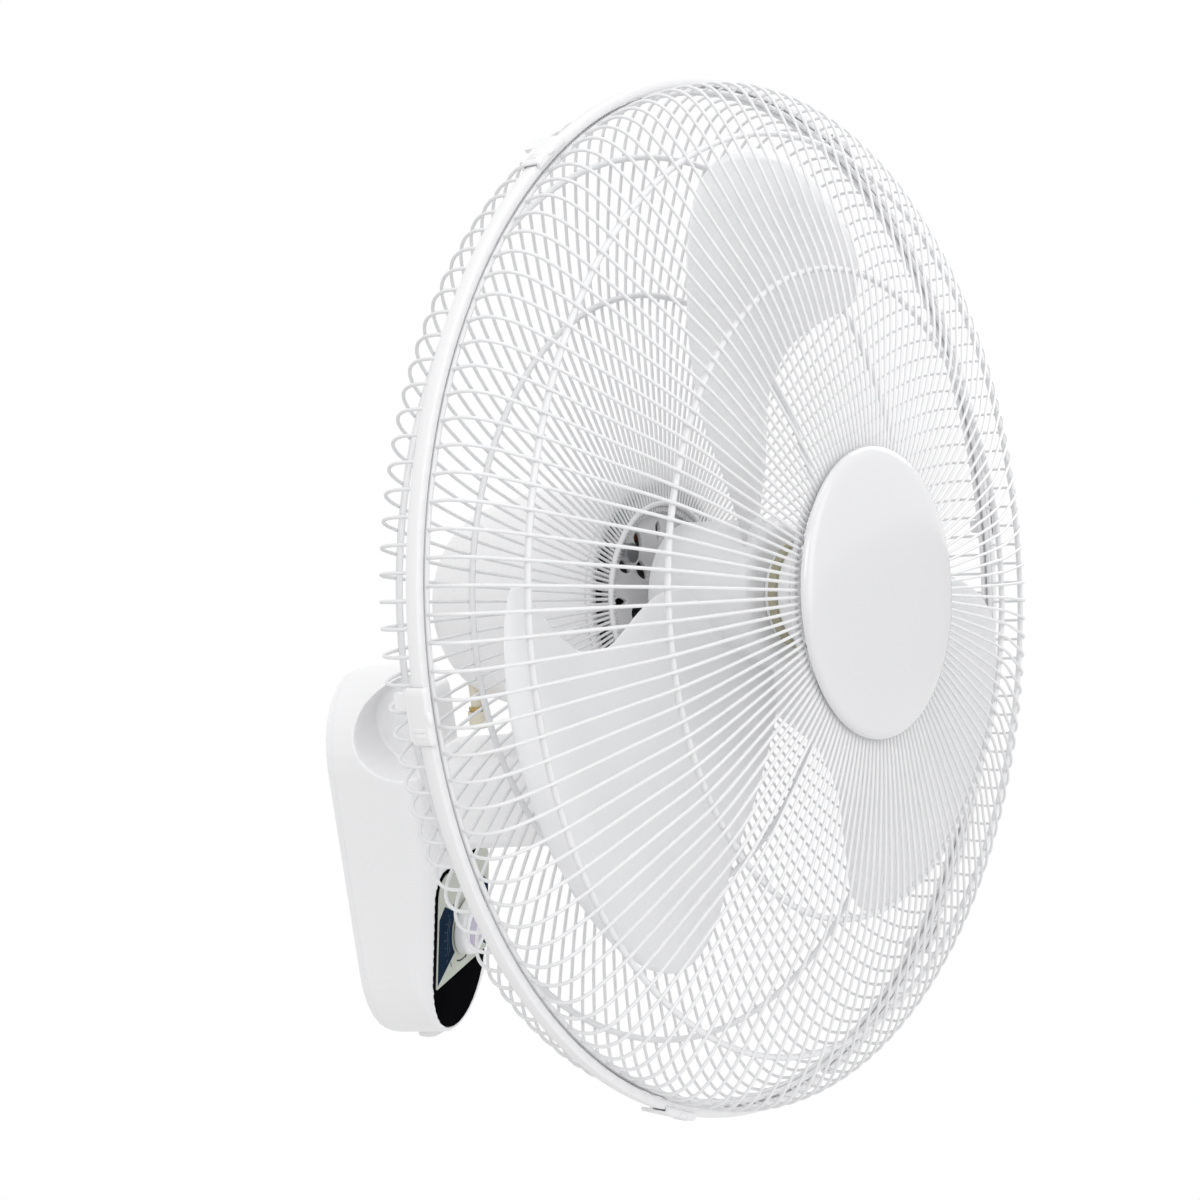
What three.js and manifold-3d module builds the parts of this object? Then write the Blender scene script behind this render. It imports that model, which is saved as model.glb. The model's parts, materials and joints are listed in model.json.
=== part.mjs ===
// Wall mounted oscillating fan, 400 mm blade class. Millimetres, +Z up, the wall is the plane y = 0
// and the room is on the -Y side. The origin is the centre of the wall plate's back face.
import * as THREE from "three";
import { mergeVertices } from "three/addons/utils/BufferGeometryUtils.js";
import Module from "manifold-3d";

const wasm = await Module();
wasm.setup();

// ---------------------------------------------------------------- driving dimensions
const GAP = 0.3; // clearance between pieces that touch
const RUN = 0.5; // clearance between pieces that turn past each other

// base on the wall
const BASE_WIDTH = 80;
const BASE_HEIGHT = 181;
const BASE_DEPTH_TOP = 47;
const BASE_DEPTH_BOTTOM = 30;
const BASE_EDGE = 9; // rounding of the housing's front edges
const BASE_WALL = 2.4;
const PLATE_THICK = 1.6; // steel plate on the wall
const PLATE_WIDTH = 54;
const PLATE_HEIGHT = 118;
const HOOK_HEIGHT = 36; // of the plate's hooks, above and below its centre
const BACK_THICK = 2.4;
const BACK_SCREWS = [[-30, 38], [30, 38], [0, -66]];
const SCOOP_RADIUS = 22; // finger scoops in the top of the housing
const SCOOP_DROP = 25; // from the housing's top to the scoops' centre
const SCOOP_OUT = 39; // from the wall to the scoops' centre
const WEB_HALF = 12; // half the web that the two scoops leave
const GLAND_OUT = -15; // cord gland, from the wall

// control panel
const PANEL_WIDTH = 62;
const PANEL_TOP = -6;
const PANEL_FOOT = 2; // from the housing's lowest point up to the panel's
const PANEL_THICK = 2.2;
const LABEL_THICK = 0.8;
const KNOB_HEIGHT = -39;
const KNOB_RADIUS = 13.6;
const KNOB_DEPTH = 7;
const INSERT_RADIUS = 9.4; // of the lilac disc in the knob's face
const LABEL_BELOW = 22; // from the knob's centre down to the sheet's straight foot
const LABEL_ABOVE = 27;
const SWITCH_SHAFT_RADIUS = 3;

// arm and its tilt joint
const ARM_WIDTH = 56;
const ARM_RADIUS = 23; // half the arm's height, and the round of its end
const ARM_HEIGHT = 27; // height of the tilt axis
const ARM_WALL = 2.6;
const REACH = 118; // from the wall to the tilt and swing axes
const FORK_HALF = 15.3; // half the slot in the arm's end
const TONGUE_RADIUS = 20.5;
const BOLT_RADIUS = 4;
const BOLT_HEAD = 6.5;
const NECK_RADIUS = 23;

// head
const AXIS_HEIGHT = 114.5; // fan axis above the wall plate's centre
const REST_PAN = -18; // degrees that the head is turned at rest
const RING_OUT = 105; // from the swing axis to the middle plane of the guards
const MOTOR_RADIUS = 52;
const MOTOR_REAR = 60; // from the swing axis to the tip of the rear dome
const MOTOR_WALL = 2.4;
const SKIRT_RADIUS = 25; // round skirt under the motor cover
const SKIRT_WALL = 3;
const POST_RADIUS = 6;
const STATOR_RADIUS = 42;
const STATOR_BORE = 24;
const STATOR_FRONT = -40;
const STATOR_REAR = -14;
const BOLT_CIRCLE = STATOR_RADIUS + 2.4;
const SHAFT_RADIUS = 4;
const FRAME_REAR = 2; // rear face of the motor's rear frame, behind the swing axis
const BEARING_BOSS = 5; // how far the frame's bearing boss stands out behind it
const FOOT_REACH = 5; // of the frame's feet, beyond the stator's edge
const BOSS_FOOT = -44; // boss for the swivel post, from the fan axis
const BOSS_TOP = -38;

// guards: distance from the fan axis, and distance forward of their middle plane
const WIRE = 2.4;
const BARS = 30; // bars of each guard
const RIM_RADIUS = 211.6;
const CURL = 7.9; // how far the bars' bulge stands out from the rim
const BULGE_RADIUS = RIM_RADIUS + CURL;
const BULGE_DEPTH = 15.5; // of the bulge, from the middle plane
const SHOULDER_DEPTH = 21.5; // of the bars' bend before the bulge
const RIM_DEPTH = 4.2; // where a bar turns into the band
const RIM_END = 1.6; // its end, from the middle plane
const FRONT_CENTRE_RADIUS = 57;
const REAR_CENTRE_RADIUS = 42;
const OUTER_RING_IN = 21.9; // from the rim in to the outer ring
const OUTER_RING_RADIUS = RIM_RADIUS - OUTER_RING_IN;
const FRONT_RING_DEPTH = 30.9; // of the outer ring's inner edge, front guard
const REAR_RING_DEPTH = 33.9; // the same, rear guard
const RING_FALL = 1.4; // from the outer ring's inner edge to its outer one
const INNER_RING_RADIUS = 133;
const RING_HALF = 1.6; // half the width of a wire ring
const FRONT_DEPTH = 57;
const REAR_DEPTH = 50;
const RIM_CLEAR = 1.2; // between the rim's wire and the band
const BAND_INNER = RIM_RADIUS + WIRE / 2 + RIM_CLEAR;
const BAND_THICK = 3;
const BAND_HALF = 2.8;
const CAP_RADIUS = 60;
const CAP_THICK = 4;
const CLIP_COUNT = 6;
const CLIP_FIRST = 30; // degrees from the top to the first clip
const CLIP_LENGTH = 20;
const CLIP_WALL = 1.4;
const MOTOR_FRONT = RING_OUT - REAR_DEPTH - WIRE / 2 - GAP; // from the swing axis to the motor's front
const SCREW_CIRCLE = REAR_CENTRE_RADIUS - 7.2; // screws that hold the rear guard

// blades
const BLADE_COUNT = 3;
const BLADE_START = 4; // degrees from the top to the first blade
const BLADE_THICK = 2.4;
const BLADE_CAMBER = 5; // how far a wide blade's middle bulges forward
const HUB_RADIUS = 33;
const HUB_BACK = -36;
const HUB_FRONT = 14;
const HUB_WALL = 2.6;
const NUT_RADIUS = 23;
const NUT_LENGTH = 12;

// oscillation drive: a worm on the shaft, its wheel, a crank and a link
const CRANK_OUT = 30; // behind the swing axis
const CRANK_SIDE = 14;
const CRANK_DROP = 26; // from the fan axis to the crank disc
const CRANK_THROW = 8;
const CRANK_RADIUS = 11;
const LINK_THICK = 2.5;
const STUD_OUT = 17; // the neck's stud behind the swing axis
const CRANK_SHAFT_RADIUS = 2.5;
const CASE_WALL = 2.5; // gear case
const CASE_SIDE = 11; // from the fan axis to the case's near side
const CASE_FAR_SIDE = 14; // from the crank's axis to its far side
const CASE_REAR = 15; // from the crank's axis to its rear
const CASE_BELOW = 11; // from the fan axis down to its bottom
const CASE_ABOVE = 13; // from the fan axis up to its top
const PULL_KNOB = [-26, 42]; // knob under the motor, from the swing axis
const PULL_STEM_RADIUS = 3;
const PULL_SHELF_HALF = 5; // half the width of the shelf that carries its stem

// ---------------------------------------------------------------- helpers
const TAU = Math.PI * 2;
const rad = (deg) => (deg * Math.PI) / 180;

// turns every face outwards
function outward(g) {
  const p = g.attributes.position;
  const index = g.index.array;
  const [a, b, c] = [new THREE.Vector3(), new THREE.Vector3(), new THREE.Vector3()];
  let volume = 0;
  for (let i = 0; i < index.length; i += 3) {
    a.fromBufferAttribute(p, index[i]);
    b.fromBufferAttribute(p, index[i + 1]);
    c.fromBufferAttribute(p, index[i + 2]);
    volume += a.dot(b.cross(c));
  }
  if (volume >= 0) return g;
  const flipped = Array.from(index);
  for (let i = 0; i < flipped.length; i += 3) [flipped[i + 1], flipped[i + 2]] = [flipped[i + 2], flipped[i + 1]];
  g.setIndex(flipped);
  return g;
}

// keeps positions only, and merges the vertices that faces share
function welded(geometry) {
  const g = geometry.clone();
  g.deleteAttribute("normal");
  g.deleteAttribute("uv");
  const merged = mergeVertices(g, 1e-4);
  const index = merged.index.array;
  const kept = [];
  for (let i = 0; i < index.length; i += 3) {
    const [a, b, c] = [index[i], index[i + 1], index[i + 2]];
    if (a !== b && b !== c && a !== c) kept.push(a, b, c);
  }
  merged.setIndex(kept);
  return outward(merged);
}

function solid(g) {
  const vertProperties = new Float32Array(g.attributes.position.array);
  const triVerts = new Uint32Array(g.index.array);
  return new wasm.Manifold(new wasm.Mesh({ numProp: 3, vertProperties, triVerts }));
}

function geometryOf(body) {
  const mesh = body.getMesh();
  const g = new THREE.BufferGeometry();
  g.setAttribute("position", new THREE.BufferAttribute(new Float32Array(mesh.vertProperties), 3));
  g.setIndex(new THREE.BufferAttribute(new Uint32Array(mesh.triVerts), 1));
  return g;
}

const join = (first, ...rest) => geometryOf(rest.reduce((sum, g) => sum.add(solid(g)), solid(first)));
const cut = (first, ...rest) => geometryOf(rest.reduce((sum, g) => sum.subtract(solid(g)), solid(first)));
const common = (a, b) => geometryOf(solid(a).intersect(solid(b)));

function box(x0, x1, y0, y1, z0, z1) {
  const g = new THREE.BoxGeometry(x1 - x0, y1 - y0, z1 - z0);
  return welded(g.translate((x0 + x1) / 2, (y0 + y1) / 2, (z0 + z1) / 2));
}

// cylinders along X, Y and Z, from a to b along their axis
const cylinder = (r, a, b, sides) => new THREE.CylinderGeometry(r, r, b - a, sides).translate(0, (a + b) / 2, 0);
const cylX = (r, a, b, y, z, sides = 24) => welded(cylinder(r, -b, -a, sides).rotateZ(Math.PI / 2).translate(0, y, z));
const cylY = (r, a, b, x, z, sides = 24) => welded(cylinder(r, a, b, sides).translate(x, 0, z));
const cylZ = (r, a, b, x, y, sides = 24) => welded(cylinder(r, a, b, sides).rotateX(Math.PI / 2).translate(x, y, 0));

// a solid of revolution about the Y axis, from points of [radius, y]
function turned(points, sides = 32) {
  return welded(new THREE.LatheGeometry(points.map(([r, y]) => new THREE.Vector2(r, y)), sides));
}
const ring = (r0, r1, y0, y1, sides = 28) => turned([[r0, y0], [r1, y0], [r1, y1], [r0, y1], [r0, y0]], sides);
const around = (g, degrees) => g.clone().rotateY(rad(degrees)); // about the fan axis, clockwise from the front

// an outline in x and z, pushed along y from y0 to y1
function alongY(shape, y0, y1, segments = 10) {
  const g = new THREE.ExtrudeGeometry(shape, { depth: y1 - y0, bevelEnabled: false, curveSegments: segments });
  return welded(g.rotateX(Math.PI / 2).translate(0, y1, 0));
}

// an outline in distance from the wall and height, pushed both ways along x, with rounded edges
function alongX(shape, half, edge, segments = 6) {
  const g = new THREE.ExtrudeGeometry(shape, { depth: 2 * (half - edge), bevelEnabled: edge > 0, bevelSize: edge,
    bevelThickness: edge, bevelOffset: -edge, bevelSegments: 3, curveSegments: segments });
  return welded(g.translate(0, 0, edge - half).rotateX(Math.PI / 2).rotateZ(-Math.PI / 2));
}

const materials = {
  white: { color: 0xf2f2f3, roughness: 0.28, metalness: 0 },
  wire: { color: 0xeeeeef, roughness: 0.42, metalness: 0 },
  blade: { color: 0xe6e8ea, roughness: 0.35, metalness: 0 },
  black: { color: 0x0b0b0d, roughness: 0.4, metalness: 0 },
  label: { color: 0xb9beb4, roughness: 0.5, metalness: 0 },
  lilac: { color: 0xb8afcb, roughness: 0.45, metalness: 0 },
  olive: { color: 0xa5a087, roughness: 0.55, metalness: 0 },
  ivory: { color: 0xe2ddc8, roughness: 0.5, metalness: 0 },
  dark: { color: 0x2c2d30, roughness: 0.6, metalness: 0 },
  steel: { color: 0xb9bbbe, roughness: 0.35, metalness: 1 },
  alloy: { color: 0xa9abae, roughness: 0.55, metalness: 1 },
  copper: { color: 0xa8653c, roughness: 0.4, metalness: 1 },
  brass: { color: 0xb08d46, roughness: 0.35, metalness: 1 },
};

function piece(group, name, geometry, kind) {
  const g = geometry.clone();
  g.computeVertexNormals();
  const mesh = new THREE.Mesh(g, new THREE.MeshStandardMaterial(materials[kind]));
  mesh.name = name;
  group.add(mesh);
}

// ---------------------------------------------------------------- base on the wall
const baseTop = BASE_HEIGHT / 2;
const baseHalf = BASE_WIDTH / 2;
const backFace = -PLATE_THICK - GAP; // the back cover's rear face
const insideBack = backFace - BACK_THICK - GAP; // where the housing and what it holds begin

function capsule(width, height) {
  const r = width / 2;
  const s = new THREE.Shape();
  s.absarc(0, height / 2 - r, r, 0, Math.PI, false);
  s.absarc(0, r - height / 2, r, Math.PI, TAU, false);
  s.closePath();
  return s;
}

// side view of the housing, with its front leaning back below the arm; inset gives the cavity's
function sideOutline(inset) {
  const top = baseTop - inset;
  const out = BASE_DEPTH_TOP - inset;
  const foot = BASE_DEPTH_BOTTOM - inset;
  const nose = 16;
  const s = new THREE.Shape();
  s.moveTo(-40, -top - 30);
  s.lineTo(foot - 8, -top - 30);
  s.lineTo(foot, -top);
  s.lineTo(out, 0);
  s.lineTo(out, top - nose);
  s.absarc(out - nose, top - nose, nose, 0, Math.PI / 2, false);
  s.lineTo(-40, top);
  s.closePath();
  return s;
}

function scoops(grow) {
  const z = baseTop - SCOOP_DROP;
  const r = SCOOP_RADIUS + grow;
  const inner = WEB_HALF - grow;
  const side = (x0, x1) => join(
    cylX(r, x0, x1, -SCOOP_OUT, z, 24),
    box(x0, x1, -BASE_DEPTH_TOP - 20, -SCOOP_OUT, z - r, z + r),
  );
  return join(side(inner, baseHalf + 10), side(-baseHalf - 10, -inner));
}

// moves a piece drawn behind the plane y = 0 onto the leaning front, centred on the knob
const lean = Math.atan2(BASE_DEPTH_TOP - BASE_DEPTH_BOTTOM, baseTop);
const knobOut = BASE_DEPTH_TOP + (KNOB_HEIGHT * (BASE_DEPTH_TOP - BASE_DEPTH_BOTTOM)) / baseTop;
const onPanel = (g) => g.clone().rotateX(lean).translate(0, -knobOut, KNOB_HEIGHT);

function panelOutline(grow) {
  const half = PANEL_WIDTH / 2 + grow;
  const top = (PANEL_TOP - KNOB_HEIGHT) / Math.cos(lean) + grow;
  const foot = (PANEL_FOOT - baseTop - KNOB_HEIGHT) / Math.cos(lean) - grow;
  const corner = 10;
  const s = new THREE.Shape();
  s.absarc(half - corner, top - corner, corner, 0, Math.PI / 2, false);
  s.absarc(corner - half, top - corner, corner, Math.PI / 2, Math.PI, false);
  s.absarc(0, foot + half, half, Math.PI, TAU, false);
  s.closePath();
  return s;
}

const armStart = BASE_DEPTH_TOP - 6; // the arm starts inside the housing's front wall
const slotBack = REACH - TONGUE_RADIUS - 4; // the fork's inner wall
const armFloor = ARM_HEIGHT - ARM_RADIUS;
const hatch = { near: BASE_DEPTH_TOP + 6, far: slotBack - 8, half: ARM_WIDTH / 2 - 12 };

function armOutline() {
  const s = new THREE.Shape();
  s.absarc(REACH, ARM_HEIGHT, ARM_RADIUS, -Math.PI / 2, Math.PI / 2, false);
  s.lineTo(armStart, ARM_HEIGHT + ARM_RADIUS);
  s.lineTo(armStart, armFloor);
  s.closePath();
  return s;
}

function baseHousing() {
  const outer = common(
    alongY(capsule(BASE_WIDTH, BASE_HEIGHT), -BASE_DEPTH_TOP - 1, insideBack),
    alongX(sideOutline(0), baseHalf, BASE_EDGE),
  );
  const inner = common(
    alongY(capsule(BASE_WIDTH - 2 * BASE_WALL, BASE_HEIGHT - 2 * BASE_WALL), -BASE_DEPTH_TOP, 0),
    alongX(sideOutline(BASE_WALL), baseHalf - BASE_WALL, BASE_EDGE - BASE_WALL),
  );
  const half = ARM_WIDTH / 2;
  const arm = alongX(armOutline(), half, 10);
  const armSpace = box(6 - half, half - 6, 4 - slotBack, 12 - armStart, armFloor + ARM_WALL + 2,
    ARM_HEIGHT + ARM_RADIUS - ARM_WALL);
  let body = cut(outer, scoops(0), cut(inner, scoops(BASE_WALL)));
  body = cut(
    join(body, arm),
    cut(armSpace, scoops(BASE_WALL)),
    box(-hatch.half, hatch.half, -hatch.far, -hatch.near, 0, ARM_HEIGHT),
    box(-FORK_HALF, FORK_HALF, -REACH - ARM_RADIUS - 5, -slotBack, -5, baseTop),
    onPanel(alongY(panelOutline(GAP), -3, PANEL_THICK + 4)),
    cylX(BOLT_RADIUS + RUN, -half - 5, half + 5, -REACH, ARM_HEIGHT, 16),
    cylX(BOLT_HEAD + 1, -half - 1, 5 - half, -REACH, ARM_HEIGHT, 20),
    cylX(BOLT_HEAD + 1, half - 5, half + 1, -REACH, ARM_HEIGHT, 20),
  );
  // posts for the back cover's screws, each with a rib to the side walls
  for (const [x, z] of BACK_SCREWS) {
    const left = x > 0 ? x : -baseHalf * 2;
    const right = x < 0 ? x : baseHalf * 2;
    const rib = box(left, right, insideBack - 6, insideBack, z - 2, z + 2);
    const post = join(cylY(4, insideBack - 12, insideBack, x, z, 12), rib);
    body = cut(join(body, common(post, outer)), cylY(1.6, insideBack - 10, insideBack + 1, x, z, 10));
  }
  return cut(body, cylZ(4.5 + GAP, -baseTop - 5, -baseTop + 8, 0, GLAND_OUT, 16));
}

function backCover() {
  const slots = [-HOOK_HEIGHT, HOOK_HEIGHT].map((z) => box(-9.5, 9.5, backFace - 6, 0, z - 3, z + 3));
  const holes = BACK_SCREWS.map(([x, z]) => cylY(1.9, backFace - 6, 0, x, z, 10));
  return cut(alongY(capsule(BASE_WIDTH - 2, BASE_HEIGHT - 2), backFace - BACK_THICK, backFace, 8), ...slots, ...holes);
}

// steel plate with two hooks that the back cover drops onto, and two holes for the wall's screws
function wallPlate() {
  const lip = insideBack - 1.5;
  const hooks = [-HOOK_HEIGHT, HOOK_HEIGHT].flatMap((z) => [
    box(-8, 8, lip, -PLATE_THICK / 2, z - 2, z),
    box(-8, 8, lip, insideBack, z - 2, z + 5),
  ]);
  const holes = [-48, 48].map((z) => cylY(2.4, -5, 5, 0, z, 14));
  return cut(join(alongY(capsule(PLATE_WIDTH, PLATE_HEIGHT), -PLATE_THICK, 0, 8), ...hooks), ...holes);
}

function base(group) {
  piece(group, "wall_plate", wallPlate(), "steel");
  piece(group, "base_back_cover", backCover(), "white");
  piece(group, "base_housing", baseHousing(), "white");
  BACK_SCREWS.forEach(([x, z], i) => {
    const screw = join(
      cylY(1.4, insideBack - 8, backFace, x, z, 10),
      cylY(1.7, backFace - BACK_THICK, backFace + 0.1, x, z, 10),
    );
    piece(group, `back_cover_screw_${i + 1}`, screw, "steel");
  });
  const cover = box(GAP - hatch.half, hatch.half - GAP, GAP - hatch.far, -hatch.near - GAP, armFloor,
    armFloor + ARM_WALL);
  piece(group, "arm_cover", cover, "white");

  const shaftHole = cylY(SWITCH_SHAFT_RADIUS + 1.5, -5, 5, 0, 0, 20);
  piece(group, "control_panel", onPanel(cut(alongY(panelOutline(0), 0, PANEL_THICK, 8), shaftHole)), "black");
  const label = common(alongY(panelOutline(-0.4), -LABEL_THICK - GAP, -GAP, 8),
    box(-PANEL_WIDTH, PANEL_WIDTH, -5, 5, -LABEL_BELOW, LABEL_ABOVE));
  piece(group, "dial_plate", onPanel(cut(label, shaftHole)), "label");
  piece(group, "rotary_switch", onPanel(box(-13, 13, PANEL_THICK + GAP, 16, -13, 13)), "dark");
  piece(group, "capacitor", box(-33, -16, insideBack - 17, insideBack, -4, 28), "dark");
  piece(group, "terminal_block", box(8, 34, insideBack - 13, insideBack, -4, 14), "ivory");

  const gland = join(
    cylZ(4.5, -baseTop - 4, -baseTop + 6, 0, GLAND_OUT, 14),
    cylZ(6.5, -baseTop - 3, -baseTop - GAP, 0, GLAND_OUT, 18),
    cylZ(6.5, -baseTop + BASE_WALL + 3, -baseTop + BASE_WALL + 5.5, 0, GLAND_OUT, 18),
  );
  piece(group, "cord_gland", cut(gland, cylZ(2.6, -baseTop - 8, -baseTop + 14, 0, GLAND_OUT, 12)), "white");
}

// flat speed knob, the disc in its face with a raised pointer, and the switch's shaft
function speedKnob(group) {
  const back = -LABEL_THICK - GAP - RUN;
  const front = back - KNOB_DEPTH;
  const pocket = front + 1.8;
  const shaftEnd = back - KNOB_DEPTH + 3;
  const knob = cut(
    turned([[0, back], [KNOB_RADIUS, back], [KNOB_RADIUS, front + 2.6], [KNOB_RADIUS - 0.6, front + 1],
      [KNOB_RADIUS - 1.8, front], [0, front]], 36),
    cylY(INSERT_RADIUS, front - 1, pocket, 0, 0, 32),
    cylY(SWITCH_SHAFT_RADIUS + 0.1, shaftEnd, 1, 0, 0, 16),
  );
  piece(group, "speed_knob", onPanel(knob), "white");
  const insert = join(
    cylY(INSERT_RADIUS - GAP, front + 0.3, pocket - GAP, 0, 0, 32),
    box(-0.9, 0.9, front - 0.6, front + 0.6, 2, INSERT_RADIUS - 2),
  );
  piece(group, "knob_insert", onPanel(insert), "lilac");
  piece(group, "switch_shaft", onPanel(cylY(SWITCH_SHAFT_RADIUS, shaftEnd + 0.5, PANEL_THICK, 0, 0, 16)), "brass");
}

// ---------------------------------------------------------------- tilt joint and neck
const neckTop = AXIS_HEIGHT - MOTOR_RADIUS - 2.2;
const postFoot = ARM_HEIGHT + 13;
const linkTop = -CRANK_DROP - 3 - GAP; // from the fan axis

function tiltBolt(group) {
  const head = ARM_WIDTH / 2 - 5 + GAP;
  const bolt = join(
    cylX(BOLT_RADIUS, -head, head + 4.5, -REACH, ARM_HEIGHT, 16),
    cylX(BOLT_HEAD, -head - 4, -head, -REACH, ARM_HEIGHT, 20),
  );
  piece(group, "tilt_bolt", bolt, "steel");
  const nut = cut(
    cylX(BOLT_HEAD, head, head + 4, -REACH, ARM_HEIGHT, 6),
    cylX(BOLT_RADIUS + 0.1, head - 1, head + 6, -REACH, ARM_HEIGHT, 16),
  );
  piece(group, "tilt_nut", nut, "steel");
}

// tongue between the fork's prongs, with a round collar on top and a stud for the crank's link
function neck(group) {
  const half = FORK_HALF - GAP;
  const studTop = AXIS_HEIGHT + linkTop - LINK_THICK - 1.2;
  const body = cut(
    join(
      cylX(TONGUE_RADIUS, -half, half, -REACH, ARM_HEIGHT, 28),
      box(-half, half, -REACH - 14, -REACH + 14, ARM_HEIGHT, neckTop - 3),
      cylZ(NECK_RADIUS, neckTop - 4.4, neckTop, 0, -REACH, 32),
      cylZ(4, neckTop - 1, neckTop + 3, 0, STUD_OUT - REACH, 12),
      cylZ(2.4, neckTop - 1, studTop, 0, STUD_OUT - REACH, 12),
    ),
    cylX(BOLT_RADIUS + 0.1, -40, 40, -REACH, ARM_HEIGHT, 16),
    cylZ(POST_RADIUS + 2, postFoot - 1, neckTop + 5, 0, -REACH, 20),
  );
  piece(group, "neck", body, "white");
  const bush = cut(
    cylZ(POST_RADIUS + 1.9, postFoot - 1 + GAP, neckTop, 0, -REACH, 20),
    cylZ(POST_RADIUS + 0.08, postFoot - 5, neckTop + 5, 0, -REACH, 20),
  );
  piece(group, "neck_bush", bush, "ivory");
}

// ---------------------------------------------------------------- head
// In the head's own frame the swing axis is the Z axis and the fan axis is the Y axis, blowing to -Y.
const at = (forward) => -RING_OUT - forward; // a place on the fan axis, forward of the guards' middle plane

// a guard of radial bars and wire rings: the profile is [radius, forward], from the centre to the rim,
// and the bars run along all of it; at the steps named in rings it is closed all the way round
function guard(profile, rings) {
  const pts = profile.map(([r, f]) => new THREE.Vector2(r, at(f)));
  const across = pts.map((p, i) => {
    const t = pts[Math.min(i + 1, pts.length - 1)].clone().sub(pts[Math.max(i - 1, 0)]).normalize();
    return new THREE.Vector2(-t.y, t.x).multiplyScalar(WIRE / 2);
  });
  const columns = BARS * 2;
  const id = (side, k, c) => (side * pts.length + k) * columns + ((c + columns) % columns);
  const positions = [];
  for (const side of [-1, 1]) {
    pts.forEach((p, k) => {
      const r = p.x + side * across[k].x;
      const y = p.y + side * across[k].y;
      for (let c = 0; c < columns; c += 1) {
        const edge = (c % 2 ? 1 : -1) * Math.asin(WIRE / 2 / p.x);
        const a = ((Math.floor(c / 2) + 0.5) * TAU) / BARS + edge;
        positions.push(r * Math.sin(a), y, r * Math.cos(a));
      }
    });
  }
  const index = [];
  const quad = (a, b, c, d) => index.push(a, b, c, a, c, d);
  const last = pts.length - 1;
  const filled = (k, c) => k >= 0 && k < last && (c % 2 === 0 || rings.includes(k));
  for (let k = 0; k < last; k += 1) {
    for (let c = 0; c < columns; c += 1) {
      if (!filled(k, c)) continue;
      quad(id(0, k, c), id(0, k, c + 1), id(0, k + 1, c + 1), id(0, k + 1, c));
      quad(id(1, k, c), id(1, k + 1, c), id(1, k + 1, c + 1), id(1, k, c + 1));
      if (!filled(k - 1, c)) quad(id(0, k, c), id(1, k, c), id(1, k, c + 1), id(0, k, c + 1));
      if (!filled(k + 1, c)) quad(id(0, k + 1, c), id(0, k + 1, c + 1), id(1, k + 1, c + 1), id(1, k + 1, c));
      if (!filled(k, c + columns - 1)) quad(id(0, k, c), id(0, k + 1, c), id(1, k + 1, c), id(1, k, c));
      if (!filled(k, c + 1)) quad(id(0, k, c + 1), id(1, k, c + 1), id(1, k + 1, c + 1), id(0, k + 1, c + 1));
    }
  }
  const g = new THREE.BufferGeometry();
  g.setAttribute("position", new THREE.BufferAttribute(new Float32Array(positions), 3));
  g.setIndex(index);
  return welded(g);
}

// from the outer ring over the bulge to the rim in the band
const rimStretch = [
  [OUTER_RING_RADIUS + RING_HALF, FRONT_RING_DEPTH - RING_FALL], [RIM_RADIUS - 0.6, SHOULDER_DEPTH],
  [BULGE_RADIUS - 1.3, BULGE_DEPTH], [RIM_RADIUS, RIM_DEPTH], [RIM_RADIUS, RIM_END],
];

function frontGuard() {
  const depth = FRONT_DEPTH - 8.6;
  const profile = [
    [FRONT_CENTRE_RADIUS - 2, FRONT_DEPTH - 5], [FRONT_CENTRE_RADIUS + 2, FRONT_DEPTH - 2],
    [INNER_RING_RADIUS - RING_HALF, depth + 0.4], [INNER_RING_RADIUS + RING_HALF, depth - 0.4],
    [OUTER_RING_RADIUS - RING_HALF, FRONT_RING_DEPTH], ...rimStretch,
  ];
  return guard(profile, [0, 2, 4, profile.length - 2]);
}

function rearGuard() {
  const depth = REAR_DEPTH - 1.4;
  const profile = [
    [REAR_CENTRE_RADIUS - 5, REAR_DEPTH], [REAR_CENTRE_RADIUS, REAR_DEPTH],
    [INNER_RING_RADIUS - RING_HALF, depth + 0.5], [INNER_RING_RADIUS + RING_HALF, depth - 0.5],
    [OUTER_RING_RADIUS - RING_HALF, REAR_RING_DEPTH],
    [OUTER_RING_RADIUS + RING_HALF, REAR_RING_DEPTH - RING_FALL], ...rimStretch.slice(1),
  ].map(([r, f]) => [r, -f]);
  return guard(profile, [0, 2, 4, profile.length - 2]);
}

// plain, slightly domed disc on the front guard, held by three snap legs
function guardCap() {
  const f = FRONT_DEPTH - 2 + WIRE / 2 + GAP;
  const disc = turned([[0, at(f + CAP_THICK + 2)], [36, at(f + CAP_THICK + 1.4)], [55, at(f + CAP_THICK + 0.2)],
    [CAP_RADIUS, at(f + CAP_THICK - 2)], [CAP_RADIUS, at(f)], [CAP_RADIUS - 4, at(f)], [0, at(f + 2.6)]], 40);
  const leg = box(-4, 4, at(f + 3), at(FRONT_DEPTH - 9), FRONT_CENTRE_RADIUS - 5.6, FRONT_CENTRE_RADIUS - 3.2);
  return join(disc, leg, around(leg, 120), around(leg, 240));
}

// clip that clamps the band: a saddle with a lip over each of its edges
function bandClip() {
  const low = BAND_INNER + 1.6;
  const seat = BAND_INNER + BAND_THICK + GAP;
  const lip = BAND_HALF + GAP;
  const far = lip + CLIP_WALL;
  const outline = [[far, low], [far, seat + 1.2], [lip + 1, seat + CLIP_WALL], [-lip - 1, seat + CLIP_WALL],
    [-far, seat + 1.2], [-far, low], [-lip, low], [-lip, seat], [lip, seat], [lip, low]];
  const shape = new THREE.Shape(outline.map(([f, r]) => new THREE.Vector2(RING_OUT + f, r)));
  return alongX(shape, CLIP_LENGTH / 2, 0);
}

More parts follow.
